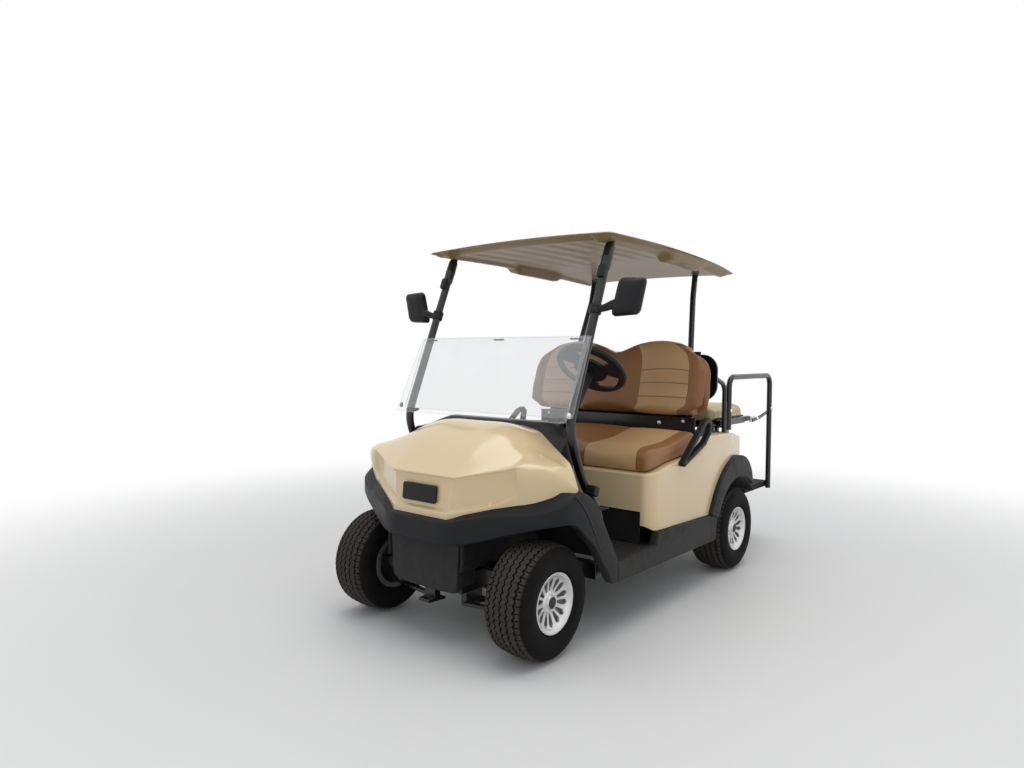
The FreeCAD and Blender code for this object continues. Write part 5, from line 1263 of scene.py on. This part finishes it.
LAMPS = (
    # name, place, aim, size, watts
    ("top_lamp", (0.6, -0.4, 4.6), (0, 0, 0.6), 4.5, 108.0),
    ("key_lamp", (3.6, -4.6, 3.4), (0, -0.4, 0.6), 2.6, 150.0),
    ("fill_lamp", (-4.4, -3.2, 2.6), (0, -0.4, 0.6), 3.0, 52.0),
)


def stage():
    """A pale floor, a soft sky and three wide lamps; the camera, gloss and glass see white behind."""
    bpy.ops.mesh.primitive_plane_add(size=60.0, location=(0, 0, 0))
    floor = bpy.context.object
    floor.name = "studio_floor"
    f = Finish("pale_floor", Roughness=0.6)
    f.feed(Base_Color=f.mix(f.noise(0.8), (0.86, 0.85, 0.84), (0.90, 0.89, 0.88)))
    # Far from the cart the floor goes over to the background's white where it is looked at.
    away = f.node("ShaderNodeVectorMath", {"operation": "LENGTH"}, {0: f.where()}, out=1)
    glow = f.node("ShaderNodeEmission", {}, {"Color": (1, 1, 1, 1), "Strength": 1.0})
    f.show(f.node("ShaderNodeMixShader", {}, {
        0: away.above(3.4, 1.7) * f.looked(), 1: Value(f, f.shader.outputs[0]), 2: glow}))
    floor.data.materials.append(f.material)
    scene.world = bpy.data.worlds.new("studio")
    scene.world.use_nodes = True
    sky = Net(scene.world.node_tree, "ShaderNodeOutputWorld")
    soft = sky.node("ShaderNodeBackground", {}, {"Color": (0.93, 0.96, 1.0, 1.0), "Strength": 0.5})
    white = sky.node("ShaderNodeBackground", {}, {"Color": (1.0, 1.0, 1.0, 1.0)})
    sky.show(sky.node("ShaderNodeMixShader", {}, {0: sky.looked(), 1: soft, 2: white}))
    for name, place, aim, size, watts in LAMPS:
        data = bpy.data.lights.new(name, "AREA")
        data.shape = "SQUARE"
        data.size = size
        data.energy = watts
        lamp = placed(name, data)
        lamp.location = place
        towards = np.array(aim, float) - np.array(place, float)
        yaw = math.atan2(towards[0], -towards[1])
        lamp.rotation_euler = (math.acos(-towards[2] / np.linalg.norm(towards)), 0.0, yaw)


nose_cowl()
wing_moulding()
wing_trims()
wheel_liners()
roof_skin()
for ending, x, y in (("front_left", 0.4555, FRONT_AXLE), ("front_right", -0.4555, FRONT_AXLE),
                     ("rear_left", 0.500, REAR_AXLE), ("rear_right", -0.500, REAR_AXLE)):
    tyre("tyre_tread_" + ending, (x, y, AXLE_HEIGHT), "wheel_" + ending)
    rim("rim_disc_" + ending, (x, y, AXLE_HEIGHT), 1 if x > 0 else -1, "wheel_" + ending)
seat_cushion()
seat_back()
box_pad("rear_seat_pad", (-0.445, 0.560, 0.818), (0.445, 1.015, 0.893), "flip_seat", "rear_cushion")
box_pad("rear_back_pad", (-0.468, 0.453, 0.958), (0.468, 0.519, 1.192), "cart", "rear_backrest")
mirrors()
strut_fittings()
pane_edges()
badge_plate()
apron_details()
latch()
dash()
shield()
strut_tubes()
front_liners()
bar("hoop_plates")
soften_all()
bolts()

camera()
stage()
view = scene.view_settings
view.view_transform = "Standard"

bpy.context.view_layer.update()
